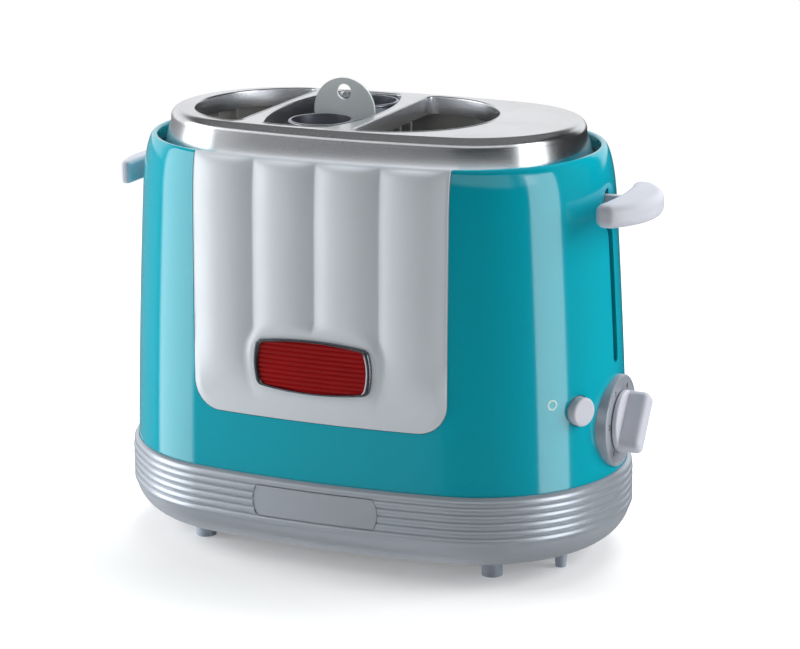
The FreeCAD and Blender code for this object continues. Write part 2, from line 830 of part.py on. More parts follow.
def end_slot(side):
    """The upright slot that a lever's neck runs in, with round ends."""
    half = S.slot_width / 2
    x = sorted((side * (S.body_at_levers - S.slot_behind), side * BEYOND))
    slot = box(x, (-half, half), (S.slot_low + half, S.slot_high - half))
    for z in (S.slot_low + half, S.slot_high - half):
        slot = slot.fuse(Part.makeCylinder(half, x[1] - x[0], Vector(x[0], 0, z), X_AXIS))
    return slot


def scoop(side):
    """A shallow dimple round the top of a lever's slot."""
    reach = body_size(S.lever_height)[0] + S.scoop_radius - S.scoop_depth
    return Part.makeSphere(S.scoop_radius, Vector(side * reach, 0, S.lever_height))


button_turn = Rotation(Z_AXIS, S.button_azimuth) * Rotation(Y_AXIS, 90)
button_out = button_turn.multVec(Z_AXIS)


def on_body(y, z):
    """The point of the body's right end at this depth and height."""
    a, _, r = body_size(z)
    return Vector(a - r + math.sqrt(r * r - y * y), y, z)


button_at = on_body(S.button_y, S.button_height)


def button_cylinder(radius, low, high):
    return Part.makeCylinder(radius, high - low, button_at + button_out * low, button_out)


body_outer = body_loft(0, S.rim_height)
body_inner = body_loft(S.body_wall, S.frame_top)
rim_opening = prism(body_wire(S.frame_top, S.rim_lip, S.rim_height), S.rim_height - S.frame_top)
body_full = body_outer.cut([body_inner, rim_opening])
dial_hole = Part.makeCylinder(S.dial_hole, BEYOND, Vector(0, 0, S.dial_height), X_AXIS)
button_hole = button_cylinder(S.button_radius + S.button_gap, -S.button_reach, S.button_reach)
end_cuts = [cutter(side) for side in SIDES.values() for cutter in (end_slot, scoop)]
panel_window = front_prism(panel_wire(S.panel_seam))
body_shape = body_full.cut([panel_window, dial_hole, button_hole, *end_cuts])
keep(feature("BodyShell", body_shape), "body_shell")


# ---------------------------------------------------------------- front panel and badge

def pillow_bulge(z):
    """How far the pillows stand out: full in the middle, rounding down at both ends."""
    middle, half = (S.pillow_top + S.pillow_bottom) / 2, (S.pillow_top - S.pillow_bottom) / 2
    part = min(1.0, abs(z - middle) / half)
    return S.pillow_bulge * (1 - part ** S.pillow_power) ** (1 / 2)


def pillow(middle):
    """One upright pillow of the front panel, lofted through sections at rising heights."""
    left, right = middle - S.pillow_pitch / 2, middle + S.pillow_pitch / 2
    sections = []
    for k in range(13):
        swing = 1 - math.cos(math.pi * k / 12)
        z = S.pillow_bottom + (S.pillow_top - S.pillow_bottom) * swing / 2
        edge = [Vector(x, front_y(x, z) + S.pillow_sink, z) for x in (left, right)]
        crest = Vector(middle, front_y(middle, z) + S.pillow_sink - pillow_bulge(z), z)
        back = [point + Y_AXIS * S.pillow_bite for point in edge]
        sections.append(Part.Wire([
            Part.Arc(edge[0], crest, edge[1]).toShape(),
            Part.LineSegment(edge[1], back[1]).toShape(),
            Part.LineSegment(back[1], back[0]).toShape(),
            Part.LineSegment(back[0], edge[0]).toShape(),
        ]))
    return loft(sections)


def badge_prism(grow):
    """The badge's cushion-shaped outline."""
    middle = Vector(0, -BEYOND, S.badge_height)
    sizes = (S.badge_half_length, S.badge_half_height, S.badge_end_bow, S.badge_crown)
    return front_prism(rounded(bowed_wire(middle, X_AXIS, Z_AXIS, *sizes), S.badge_corner, grow))


def badge_band(outline, outer, inner):
    """A piece of the badge, bent like the body's front, between two distances from it."""
    half = S.badge_half_height * 2
    levels = [S.badge_height - half, S.badge_height + half]
    solids = [prism(body_wire(levels[0], -proud, S.badge_height), 2 * half) for proud in (outer, inner)]
    return outline.common(solids[0].cut(solids[1]))


pillows = [
    pillow(S.pillow_pitch * (k - (S.pillow_count - 1) / 2)) for k in range(int(S.pillow_count))
]
badge_pad = badge_band(badge_prism(S.pad_margin), S.pad_proud, -S.pillow_bite)
panel_raised = body_full.fuse([*pillows, badge_pad])
panel_shape = panel_raised.common(front_prism(panel_wire(0.0)))
keep(feature("FrontPanel", panel_shape), "front_panel")

bezel_outline = badge_prism(0.0).cut(badge_prism(-S.bezel_width))
keep(feature("BadgeBezel", badge_band(bezel_outline, S.bezel_proud, S.pad_proud)), "badge_bezel")
insert_outline = badge_prism(-S.bezel_width)
keep(feature("BadgeInsert", badge_band(insert_outline, S.insert_proud, S.pad_proud)), "badge_insert")


# ---------------------------------------------------------------- top plate and frame

shoulder_low = S.plate_height - S.plate_shoulder
collar_reach = S.plate_shoulder_reach + S.plate_flare
collar_steps = [
    (S.plate_sheet, S.plate_height),
    (0.0, S.plate_height),
    (-S.plate_shoulder_reach, shoulder_low, S.plate_shoulder_bow),
    (-collar_reach, S.frame_top),
    (S.plate_sheet - collar_reach, S.frame_top),
    (S.plate_sheet - S.plate_shoulder_reach, shoulder_low),
    (S.plate_sheet, S.plate_under, S.plate_shoulder_bow),
]
collar = oval_turning(*plate_oval(), collar_steps)
plate_flat = prism(oval_wire(*plate_oval(-S.plate_sheet), S.plate_under), S.plate_sheet)
lips = openings(S.lip_width, S.plate_height - S.lip_drop, S.lip_drop + S.lip_proud)
throats = openings(0.0, S.plate_height - S.lip_drop, S.lip_drop + S.lip_proud)
plate_shape = collar.fuse([plate_flat, lips]).cut(throats).removeSplitter()
keep(feature("TopPlate", plate_shape), "top_plate")

frame_a, frame_b, frame_r = body_size(S.frame_top)
frame_inset = S.body_wall + S.fit_gap
frame_wire = oval_wire(frame_a - frame_inset, frame_b - frame_inset, frame_r - frame_inset, S.frame_bottom)
frame_hole = stadium_wire(S.oven_outer + S.fit_gap, S.frame_bottom)
frame_plate = prism(frame_wire, S.frame_thickness).cut(prism(frame_hole, S.frame_thickness))
keep(feature("TopFrame", frame_plate), "top_frame")


# ---------------------------------------------------------------- oven, rack, heaters and guards

def lift_places():
    return [S.left_lift_x, S.well_x, S.right_lift_x]


oven_height = S.oven_top - S.oven_bottom
oven_tube = stadium_ring(S.oven_radius, S.oven_outer, S.oven_bottom, oven_height)
arm_half = S.finger / 2 + S.slot_margin
arm_range = (S.ring_bottom - S.travel - S.slot_margin, S.lift_height + S.slot_margin)
lift_slots = [box((x - arm_half, x + arm_half), (-BEYOND, BEYOND), arm_range) for x in lift_places()]
keep(feature("OvenWall", oven_tube.cut(lift_slots)), "oven_wall")

rack_plate = prism(stadium_wire(S.oven_radius, S.oven_bottom), S.oven_sheet)
rack_cells = []
cell = (S.oven_right - S.oven_left + S.oven_radius) / S.rack_columns
for column in range(int(S.rack_columns)):
    middle_x = (S.oven_left + S.oven_right) / 2 + cell * (column - (S.rack_columns - 1) / 2)
    half_x = (cell - S.rack_bar) / 2
    for side in SIDES.values():
        y = sorted((side * S.rack_bar / 2, side * S.rack_reach))
        rack_cells.append(box((middle_x - half_x, middle_x + half_x), y, (S.oven_bottom, S.rack_top)))
keep(feature("OvenRack", rack_plate.cut(rack_cells)), "oven_rack")


def bent_sheet(centre_x, side, outer, thickness, low, high, half_angle):
    """An upright sheet that follows one of the oven's half rounds."""
    turn = Placement(Vector(centre_x, 0, low), Rotation(Z_AXIS, (0 if side > 0 else 180) - half_angle))
    full = Part.makeCylinder(outer, high - low, Vector(), Z_AXIS, 2 * half_angle)
    core = Part.makeCylinder(outer - thickness, high - low, Vector(), Z_AXIS, 2 * half_angle)
    sheet_shape = full.cut(core)
    sheet_shape.Placement = turn
    return sheet_shape


def ribbon_levels():
    count = int((S.board_top - S.rack_top) / S.ribbon_pitch) - 1
    return [S.rack_top + S.ribbon_pitch * (k + 1) for k in range(count)]


oven_centres = {"left": S.oven_left, "right": S.oven_right}
flat_boards = {"left": S.board_left_inner, "right": S.board_right_inner}
board_radius = S.oven_radius - S.fit_gap
for name, side in SIDES.items():
    centre_x = oven_centres[name]
    span = (board_radius, S.board_thickness, S.rack_top, S.board_top, S.board_half_angle)
    board = bent_sheet(centre_x, side, *span)
    keep(feature(f"OuterBoard_{name}", board), f"heater_board_{name}_outer")
    ribbon_radius = board_radius - S.board_thickness
    ribbon_span = (centre_x, side, ribbon_radius, S.ribbon_thickness)
    ribbon_angle = S.board_half_angle - S.ribbon_margin
    bent_ribbons = [bent_sheet(*ribbon_span, z, z + S.ribbon_width, ribbon_angle) for z in ribbon_levels()]
    keep(feature(f"OuterRibbons_{name}", Part.makeCompound(bent_ribbons)), f"heater_ribbons_{name}_outer")

    face = flat_boards[name]
    back = face - side * S.board_thickness
    half = S.heater_half_width
    board_x = sorted((face, back))
    keep(feature(f"InnerBoard_{name}", box(board_x, (-half, half), (S.rack_top, S.board_top))),
         f"heater_board_{name}_inner")
    ribbon_x = sorted((face, face + side * S.ribbon_thickness))
    ribbon_half = half - S.ribbon_width * 2
    flat_ribbons = [
        box(ribbon_x, (-ribbon_half, ribbon_half), (z, z + S.ribbon_width)) for z in ribbon_levels()
    ]
    keep(feature(f"InnerRibbons_{name}", Part.makeCompound(flat_ribbons)), f"heater_ribbons_{name}_inner")

    wires = []
    wire_height = S.plate_height - S.lip_drop - S.rack_top
    flat_x = face + side * (S.ribbon_thickness + S.guard_gap + S.guard_radius)
    for k in range(-2, 3):
        place = Vector(flat_x, k * S.guard_pitch, S.rack_top)
        wires.append(Part.makeCylinder(S.guard_radius, wire_height, place))
        bend = math.radians(k * S.guard_angle)
        reach = ribbon_radius - S.ribbon_thickness - S.guard_gap - S.guard_radius
        place = Vector(centre_x + side * reach * math.cos(bend), reach * math.sin(bend), S.rack_top)
        wires.append(Part.makeCylinder(S.guard_radius, wire_height, place))
    keep(feature(f"GuardWires_{name}", Part.makeCompound(wires)), f"guard_wires_{name}")


# ---------------------------------------------------------------- guide rods

for name in SIDES:
    rod_at = (f"{name}_rod_x", "rod_y", "floor_top")
    keep(rod(f"GuideRod_{name}", "rod_radius", "frame_bottom - floor_top", rod_at), f"guide_rod_{name}")


# ---------------------------------------------------------------- carriage

ring_shape = stadium_ring(S.ring_inner, S.ring_outer, S.ring_bottom, S.ring_depth)
keep(feature("CarriageRing", ring_shape), "carriage_ring")

for name, side in SIDES.items():
    bracket = new_body(f"carriage_bracket_{name}")
    plate_low = f"{name}_bracket_x"
    outlines = {
        "tower": ("bracket_tower_half_width", "ring_bottom", "bracket_height"),
        "foot": ("bracket_half_width", "ring_bottom", "lug_height"),
        "shelf": ("bracket_half_width", "upper_lug", "lug_height"),
    }
    for part_name, (half, low, height) in outlines.items():
        sketch = sketch_on(bracket, f"{name}_{part_name}", "YZ_Plane", plate_low)
        rectangle(sketch, f"-{half}", low, f"2 * {half}", height)
        pad(bracket, sketch, "bracket_sheet")
    lug_x = f"{name}_rod_x - lug_size / 2"
    lugs = (("low_lug", "ring_bottom", 1), ("high_lug", "upper_lug", 1), ("spring_lug", "upper_lug", -1))
    for part_name, level, y_sign in lugs:
        sketch = sketch_on(bracket, f"{name}_{part_name}", "XY_Plane", level)
        rectangle(sketch, lug_x, f"{y_sign} * rod_y - lug_size / 2", "lug_size", "lug_size")
        if y_sign > 0:
            circle(sketch, f"{name}_rod_x", "rod_y", "rod_radius + bush_wall")
        pad(bracket, sketch, "lug_height")
    bushes = []
    for level in ("ring_bottom", "upper_lug"):
        at = (f"{name}_rod_x", "rod_y", level)
        outer = rod(f"{name}_{level}_bush_outer", "rod_radius + bush_wall", "lug_height", at)
        bore = rod(f"{name}_{level}_bush_bore", "rod_radius + running_gap", "lug_height", at)
        bushes.append(cut(f"{name}_{level}_bush", outer, [bore]))
    keep(group(f"Bushes_{name}", bushes), f"guide_bushes_{name}")


def spring_shape(x, low, high):
    """A tension spring: one round wire wound about an upright line."""
    wire_low, wire_high = low + S.spring_wire, high - S.spring_wire
    pitch = (wire_high - wire_low) / S.spring_turns
    helix = Part.makeHelix(pitch, wire_high - wire_low, S.spring_radius)
    ring = Part.Wire(Part.Circle(Vector(S.spring_radius, 0, 0), Y_AXIS, S.spring_wire).toShape())
    coil = Part.Wire(helix.Edges).makePipeShell([ring], True, True)
    coil.Placement = Placement(Vector(x, -S.rod_y, wire_low), Rotation())
    return coil


for name in SIDES:
    rod_x = {"left": S.left_rod_x, "right": S.right_rod_x}[name]
    coil = spring_shape(rod_x, S.upper_lug + S.lug_height, S.frame_bottom)
    keep(feature(f"ReturnSpring_{name}", coil), f"return_spring_{name}")

ring_inside = prism(stadium_wire(S.ring_inner, S.ring_bottom), S.ring_depth)
for name, place in (("left", "left_lift_x"), ("right", "right_lift_x"), ("cage", "well_x")):
    bar = block(f"{name}_lift_bar", (f"{place} - finger / 2", f"{place} + finger / 2"),
                ("-ring_inner", "ring_inner"), ("ring_bottom", "lift_height"))
    pieces = [common(f"{name}_lift_bar_cut", bar, feature(f"{name}_ring_inside", ring_inside))]
    if name == "cage":
        for side in SIDES.values():
            at = ("well_x", f"{side} * well_y", "lift_height - finger")
            pieces.append(rod(f"cage_disc_{side + 1}", "cage_lift_radius", "finger", at))
    else:
        for k in range(int(S.finger_count)):
            middle_y = f"finger_pitch * {k - (S.finger_count - 1) / 2}"
            pieces.append(block(
                f"{name}_finger_{k}",
                (f"{place} - finger_half_length", f"{place} + finger_half_length"),
                (f"{middle_y} - finger / 2", f"{middle_y} + finger / 2"),
                ("lift_height - finger", "lift_height"),
            ))
    keep(fuse(f"{name}_lift", pieces), "cage_lift" if name == "cage" else f"bun_lift_{name}")

for name, side in SIDES.items():
    inner_face = {"left": "left_bracket_x", "right": "right_bracket_x + bracket_sheet"}[name]
    outer_end = f"{side} * (neck_inner + arm_bite)"
    x = (inner_face, outer_end) if side > 0 else (outer_end, inner_face)
    z = ("lever_height - arm_height / 2", "lever_height + arm_height / 2")
    keep(block(f"LeverArm_{name}", x, ("-arm_half_width", "arm_half_width"), z), f"lever_arm_{name}")


def lever_shape(name, side):
    """The grip of a lever: an arc outside, two slanting sides inside, round edges, and its neck."""
    size = lambda part: getattr(S, f"{name}_lever_{part}")
    low = S.lever_height - S.lever_thickness / 2
    end, radius = size("end"), size("radius")
    arc_x = size("reach") - radius + math.sqrt(radius ** 2 - end ** 2)
    at = lambda x, y: Vector(side * x, y, low)
    outline = Part.Wire([
        Part.Arc(at(arc_x, -end), at(size("reach"), 0), at(arc_x, end)).toShape(),
        Part.LineSegment(at(arc_x, end), at(size("tip"), end)).toShape(),
        Part.LineSegment(at(size("tip"), end), at(size("root"), 0)).toShape(),
        Part.LineSegment(at(size("root"), 0), at(size("tip"), -end)).toShape(),
        Part.LineSegment(at(size("tip"), -end), at(arc_x, -end)).toShape(),
    ])
    grip = prism(rounded(outline, size("corner")), S.lever_thickness)
    level = [edge for edge in grip.Edges if edge.BoundBox.ZLength < size("round") / 10]
    grip = grip.makeFillet(size("round"), level)
    neck_x = sorted((side * S.neck_inner, side * (size("root") + S.neck_bite)))
    half, tall = S.neck_half_width, S.neck_height / 2
    neck = box(neck_x, (-half, half), (S.lever_height - tall, S.lever_height + tall))
    arm_x = sorted((side * S.neck_inner, side * (S.neck_inner + S.arm_bite)))
    arm = box(arm_x, (-S.arm_half_width, S.arm_half_width),
              (S.lever_height - S.arm_height / 2, S.lever_height + S.arm_height / 2))
    return grip.fuse(neck).cut(arm).removeSplitter()


for name, side in SIDES.items():
    keep(feature(f"Lever_{name}", lever_shape(name, side)), f"lever_{name}")

# latch: a keeper plate on the carriage that an electromagnet holds down
keeper_low = "magnet_top + fit_gap + travel"
keep(block("LatchKeeper", ("right_bracket_x + bracket_sheet", "magnet_x + magnet_length"),
           ("-magnet_half_width", "magnet_half_width"),
           (keeper_low, f"{keeper_low} + keeper_thickness")), "latch_keeper")


# ---------------------------------------------------------------- lift-out cage

def well(side):
    """A tube with a floor, a top ring and rows of windows, for one sausage."""
    base = Vector(S.well_x, side * S.well_y, S.lift_height)
    tall = S.well_top - S.lift_height
    inner = S.well_radius - S.well_sheet
    tube = Part.makeCylinder(S.well_radius, tall, base)
    ring = Part.makeTorus(S.well_radius, S.well_ring, base + Z_AXIS * (tall - S.well_ring))
    hollow = Part.makeCylinder(inner, tall, base + Z_AXIS * S.well_floor)
    windows = []
    row = (tall - S.well_rim - S.well_foot) / S.window_rows
    for k in range(int(S.window_rows)):
        low = base.z + S.well_foot + row * k
        z = (low, low + row - S.window_rail)
        half = S.window_width / 2
        for turn in range(4):
            slot = box((-S.well_radius * 2, S.well_radius * 2), (-half, half), z)
            slot.Placement = Placement(Vector(base.x, base.y, 0), Rotation(Z_AXIS, 45 * turn))
            windows.append(slot)
    return tube.fuse(ring).cut([hollow, *windows])


for name, side in (("front", -1), ("back", 1)):
    keep(feature(f"Well_{name}", well(side)), f"cage_well_{name}")

handle = new_body("cage_handle")
tab_sketch = sketch_on(handle, "tab", "XZ_Plane", "-tab_sheet / 2")
circle(tab_sketch, "well_x", "tab_top - tab_radius", "tab_radius")
circle(tab_sketch, "well_x", "tab_top - tab_hole_drop", "tab_hole")
pad(handle, tab_sketch, "tab_sheet")
tail_sketch = sketch_on(handle, "tail", "XZ_Plane", "-tab_sheet / 2")
rectangle(tail_sketch, "well_x - tab_tail / 2", "tab_foot", "tab_tail", "tab_top - tab_radius - tab_foot")
pad(handle, tail_sketch, "tab_sheet")
strap_sketch = sketch_on(handle, "strap", "XY_Plane", "tab_foot")
strap_reach = "(well_y - well_radius)"
rectangle(strap_sketch, "well_x - strap_width / 2", f"-{strap_reach}", "strap_width", f"2 * {strap_reach}")
pad(handle, strap_sketch, "tab_sheet")


# ---------------------------------------------------------------- control board, timer and dial

bracket = new_body("board_bracket")
bracket_sketch = sketch_on(bracket, "bracket_plate", "YZ_Plane", "board_x - bracket_thickness")
rectangle(bracket_sketch, "-bracket_half_y", "floor_top", "2 * bracket_half_y", "board_high - floor_top")
pad(bracket, bracket_sketch, "bracket_thickness")
foot_sketch = sketch_on(bracket, "bracket_foot", "XY_Plane", "floor_top")
rectangle(foot_sketch, "board_x - bracket_foot", "-bracket_half_y", "bracket_foot", "2 * bracket_half_y")
pad(bracket, foot_sketch, "bracket_thickness")

circuit = new_body("circuit_board")
circuit_sketch = sketch_on(circuit, "circuit_plate", "YZ_Plane", "board_x")
rectangle(circuit_sketch, "-board_half_width", "board_low", "2 * board_half_width", "board_high - board_low")
pad(circuit, circuit_sketch, "circuit_thickness")

timer_at = ("board_face", "0", "dial_height")
timer_can = rod("timer_can", "timer_radius", "timer_length", timer_at, "x")
timer_bore = rod("timer_bore", "shaft_radius + running_gap", "timer_length",
                 ("board_face + bush_wall", "0", "dial_height"), "x")
keep(cut("TimerPot", timer_can, [timer_bore]), "timer_pot")

keep(block("CancelSwitch", ("board_face", "board_face + switch_height"),
           ("button_y + bush_wall", "button_y + bush_wall + switch_size"),
           ("button_height - switch_size / 2", "button_height + switch_size / 2")), "cancel_switch")

x_shift = lambda value: Vector(value, 0, S.dial_height)
drum_end = S.dial_face_x - S.dial_chamfer
dial_drum = Part.makeCylinder(S.dial_radius, S.dial_depth, x_shift(drum_end - S.dial_depth), X_AXIS)
dial_cone = Part.makeCone(S.dial_radius, S.dial_face_radius, S.dial_chamfer, x_shift(drum_end), X_AXIS)
dial_bore = Part.makeCylinder(S.dial_hole, BEYOND, x_shift(0), X_AXIS)
dial_shape = dial_drum.fuse(dial_cone).cut([body_outer, dial_bore])
keep(feature("DialRing", dial_shape), "dial_ring")

knob_low = "dial_face_x + fit_gap"
shaft_low = "board_face + bush_wall + fit_gap"
shaft_length = f"{knob_low} + shaft_bite - ({shaft_low})"
keep(rod("KnobShaft", "shaft_radius", shaft_length, (shaft_low, "0", "dial_height"), "x"), "knob_shaft")


def knob_shape():
    """A round flange with a thick grip bar across it, tilted from upright."""
    low = S.dial_face_x + S.fit_gap
    flange = Part.makeCylinder(S.knob_radius, S.knob_flange, x_shift(low), X_AXIS)
    flange = flange.makeFillet(S.knob_edge, [flange.Edges[0]])
    half = S.knob_grip / 2
    grip = box((low, low + S.knob_length), (-half, half), (-S.knob_radius, S.knob_radius))
    grip = grip.common(Part.makeCylinder(S.knob_radius, S.knob_length, Vector(low, 0, 0), X_AXIS))
    outer = [edge for edge in grip.Edges if edge.BoundBox.XMin > low + S.knob_length / 2]
    grip = grip.makeFillet(S.knob_edge * 2, outer)
    grip.Placement = Placement(x_shift(0), Rotation(X_AXIS, -S.knob_tilt))
    socket = Part.makeCylinder(S.shaft_radius, S.shaft_bite, x_shift(low), X_AXIS)
    return flange.fuse(grip).cut(socket)


keep(feature("TimerKnob", knob_shape()), "timer_knob")


# ---------------------------------------------------------------- cancel button

def button_shape():
    """A flat round cap, with a flange behind the body wall and a stem towards its switch."""
    cap = button_cylinder(S.button_radius, -S.flange_back, S.button_proud)
    height = lambda edge: (edge.CenterOfMass - button_at).dot(button_out)
    rims = [edge for edge in cap.Edges if len(edge.Vertexes) == 1]
    cap = cap.makeFillet(S.button_edge, [edge for edge in rims if height(edge) > 0])
    flange_low = -S.flange_back - S.button_flange
    flange = button_cylinder(S.button_radius + S.button_flange, flange_low, -S.flange_back)
    stem = button_cylinder(S.button_stem, -S.button_reach, -S.flange_back)
    return cap.fuse([flange, stem])


keep(feature("CancelButton", button_shape()), "cancel_button")


# ---------------------------------------------------------------- latch magnet

magnet_bracket = new_body("magnet_bracket")
shelf_sketch = sketch_on(magnet_bracket, "magnet_shelf", "XY_Plane", "magnet_bottom - bracket_thickness")
shelf_length = "board_x - bracket_thickness - magnet_x"
rectangle(shelf_sketch, "magnet_x", "-magnet_half_width", shelf_length, "2 * magnet_half_width")
pad(magnet_bracket, shelf_sketch, "bracket_thickness")

magnet_x = ("magnet_x", "magnet_x + magnet_length")
core_parts = [block("core_yoke", magnet_x, ("-magnet_half_width", "magnet_half_width"),
                    ("magnet_bottom", "magnet_bottom + magnet_leg"))]
leg_z = ("magnet_bottom + magnet_leg", "magnet_top")
for k in (-1, 0, 1):
    middle = f"{k} * (magnet_half_width - magnet_leg / 2)"
    leg_y = (f"{middle} - magnet_leg / 2", f"{middle} + magnet_leg / 2")
    core_parts.append(block(f"core_leg_{k + 1}", magnet_x, leg_y, leg_z))
keep(fuse("MagnetCore", core_parts), "magnet_core")

coil_half = "(magnet_half_width - magnet_leg - fit_gap)"
coil_z = ("magnet_bottom + magnet_leg", "magnet_top - magnet_leg / 2")
coil_outer = block("coil_outer", ("magnet_x - coil_build", "magnet_x + magnet_length + coil_build"),
                   (f"-{coil_half}", coil_half), coil_z)
coil_hole = block("coil_hole", magnet_x, ("-magnet_leg / 2", "magnet_leg / 2"), coil_z)
keep(cut("MagnetCoil", coil_outer, [coil_hole]), "magnet_coil")


# ---------------------------------------------------------------- crumb tray

def tray_shape():
    """A low open tray whose rear face follows the back of the base shell."""
    low = S.floor_top + S.tray_lift
    x, sheet_size = (S.tray_left, S.tray_right), S.tray_sheet
    reach = base_prism(S.bowl_inset / 2, S.base_bottom, S.ledge)
    floor = box(x, (S.tray_front, BEYOND), (low, low + sheet_size))
    wall_z = (low, low + S.tray_side)
    front = box(x, (S.tray_front, S.tray_front + sheet_size), wall_z)
    sides = [
        box((x[0], x[0] + sheet_size), (S.tray_front, BEYOND), wall_z),
        box((x[1] - sheet_size, x[1]), (S.tray_front, BEYOND), wall_z),
    ]
    inside = floor.fuse([front, *sides]).common(reach)
    groove, thick = S.ridge_height, S.tray_face_thickness
    band = oval_turning(*base_oval(), [
        (S.bowl_inset, S.base_bottom),
        (groove, S.ridge_start, S.bowl_bow),
        (groove + thick, S.ridge_start),
        (S.bowl_inset + thick, S.base_bottom, S.bowl_bow),
    ])
    face = band.common(tray_box(0.0))
    back = S.seam_half_depth + S.base_proud
    grip_z = (low + S.tray_face_height / 2 - sheet_size, low + S.tray_face_height / 2 + sheet_size)
    grip = box((-S.tray_grip_half, S.tray_grip_half), (back - S.tray_grip * 2, back), grip_z)
    return inside.fuse([face, grip]).removeSplitter()


keep(feature("CrumbTray", tray_shape()), "crumb_tray")


# ---------------------------------------------------------------- mains inlet

gland_body = gland_cylinder(S.gland_radius, -S.gland_length, S.gland_proud)
gland_rim = gland_cylinder(S.gland_flange, 0, S.gland_proud)
gland_bore = gland_cylinder(S.gland_bore, -S.gland_length, S.gland_proud)
keep(feature("CordGland", gland_body.fuse(gland_rim).cut(gland_bore)), "cord_gland")

terminal_low = "gland_x - terminal_length / 2"
keep(block("TerminalBlock", (terminal_low, f"{terminal_low} + terminal_length"),
           ("terminal_y", "terminal_y + terminal_width"),
           ("floor_top", "floor_top + terminal_height")), "terminal_block")


# ---------------------------------------------------------------- checks and files

doc.recompute()
for obj in doc.Objects:
    if {"Invalid", "Error"} & set(obj.State):
        raise RuntimeError(f"{obj.Label} did not compute")
for obj in nodes:
    if obj.Shape.isNull() or not obj.Shape.isValid():
        raise RuntimeError(f"{obj.Label} has no valid shape")
    if not obj.Shape.Solids:
        raise RuntimeError(f"{obj.Label} has no solid")

# The shared frame's origin lies under the middle of the whole toaster, levers included.
to_frame = Vector((S.left_lever_reach - S.right_lever_reach) / 2, 0, 0)
os.makedirs("parts", exist_ok=True)
for obj in nodes:
    obj.Shape.translated(to_frame).exportStep(f"parts/{obj.Label}.step")
print(len(nodes), "parts written")
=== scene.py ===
"""The looks of the hot dog toaster: surfaces, finishes, floor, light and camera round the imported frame."""

import json
import logging
import math
from dataclasses import dataclass
from enum import Enum
from typing import Sequence

import bmesh
import bpy
import numpy as np
from mathutils import Matrix, Vector
from mathutils.geometry import tessellate_polygon


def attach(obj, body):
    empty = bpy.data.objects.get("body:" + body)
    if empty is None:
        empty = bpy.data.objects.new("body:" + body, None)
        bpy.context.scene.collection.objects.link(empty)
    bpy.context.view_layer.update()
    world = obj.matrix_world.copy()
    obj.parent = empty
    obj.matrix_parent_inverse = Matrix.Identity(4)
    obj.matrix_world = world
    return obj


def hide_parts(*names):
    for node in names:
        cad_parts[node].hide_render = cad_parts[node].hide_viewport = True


log = logging.getLogger("toaster")

MM = 0.001
MIDDLE_X = -5.5             # where the middle of the body lies along X in the frame, in millimetres
WELD = 2e-6                 # points nearer than this become one, in metres
SHARP_ANGLE = math.radians(38)
NEARLY_STRAIGHT = 1e-3      # the bow of a side that counts as straight, in millimetres
SAME_POINT = 1e-9           # points of a run nearer than this are one, in millimetres
HAIR = 0.01                 # a step too small to see, in millimetres
WALL = 2.4                  # thickness of body, panel and base
LEDGE = 45.8                # height at which the body stands on the base
LEVER_HEIGHT = 187.0
BOX_CORNERS = ((-1, -1), (1, -1), (1, 1), (-1, 1))
ALONG_X = (2, 0, 1)         # which of (across, up, along) become x, y and z
ALONG_Y = (0, 2, 1)

Socket = bpy.types.NodeSocket

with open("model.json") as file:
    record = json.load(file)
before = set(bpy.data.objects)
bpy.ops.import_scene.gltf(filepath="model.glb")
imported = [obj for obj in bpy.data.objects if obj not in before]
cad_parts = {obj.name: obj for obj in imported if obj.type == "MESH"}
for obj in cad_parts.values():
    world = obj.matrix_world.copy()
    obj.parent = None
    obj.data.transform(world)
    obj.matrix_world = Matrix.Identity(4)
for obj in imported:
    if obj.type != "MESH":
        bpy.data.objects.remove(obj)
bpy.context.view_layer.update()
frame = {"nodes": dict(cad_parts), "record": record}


# ---------------------------------------------------------------- curves and outlines

def circle(start: np.ndarray, end: np.ndarray, rise: float) -> tuple[np.ndarray, float]:
    """The circle through two points whose arc stands out to the right of the way.

    With a chord of length c, its radius is (c^2 / 4 + rise^2) / (2 rise), which is below 0 where rise is.

    Args:
        start: First point.
        end: Last point.
        rise: How far the arc's middle stands off the chord.

    Returns:
        Centre and radius.
    """
    length = float(np.hypot(*(end - start)))
    out = np.array([end[1] - start[1], start[0] - end[0]]) / length
    radius = (length ** 2 / 4 + rise ** 2) / (2 * rise)
    return (start + end) / 2 + out * (rise - radius), radius


def bow(start: Sequence[float], end: Sequence[float], rise: float, steps: int) -> np.ndarray:
    """An arc from start to end that stands out to the right of the way, turning evenly about its centre.

    Args:
        start: First point.
        end: Last point.
        rise: How far the arc's middle stands off the chord.
        steps: How many runs the arc has.

    Returns:
        Points, one a row.
    """
    first, last = np.asarray(start, float), np.asarray(end, float)
    length = float(np.hypot(*(last - first)))
    along = (last - first) / length
    out = np.array([along[1], -along[0]])
    centre, radius = circle(first, last, rise)
    half = math.asin(min(1.0, length / 2 / radius))
    half = math.pi - half if rise > length / 2 else half
    turn = np.linspace(-half, half, steps + 1)[:, None]
    return centre + radius * (out * np.cos(turn) + along * np.sin(turn))


def trail(*parts: Sequence) -> np.ndarray:
    """Joins points and runs of points into one run, without repeats."""
    points = np.vstack([np.atleast_2d(np.asarray(part, float)) for part in parts])
    fresh = np.hypot(*np.diff(points, axis=0).T) > SAME_POINT
    return points[np.concatenate([[True], fresh])]


def quarter(radius: float, steps: int) -> np.ndarray:
    """A rounded edge as (pulled in, dropped): r (1 - cos t), r (1 - sin t), for t from 0 to a right angle."""
    turn = np.linspace(0, math.pi / 2, steps + 1)
    return np.stack([radius * (1 - np.cos(turn)), radius * (1 - np.sin(turn))], -1)


def lifted(loop: np.ndarray, height: float) -> np.ndarray:
    """Points of the plane, one a row, set at a height."""
    return np.column_stack([loop, np.full(len(loop), height)])


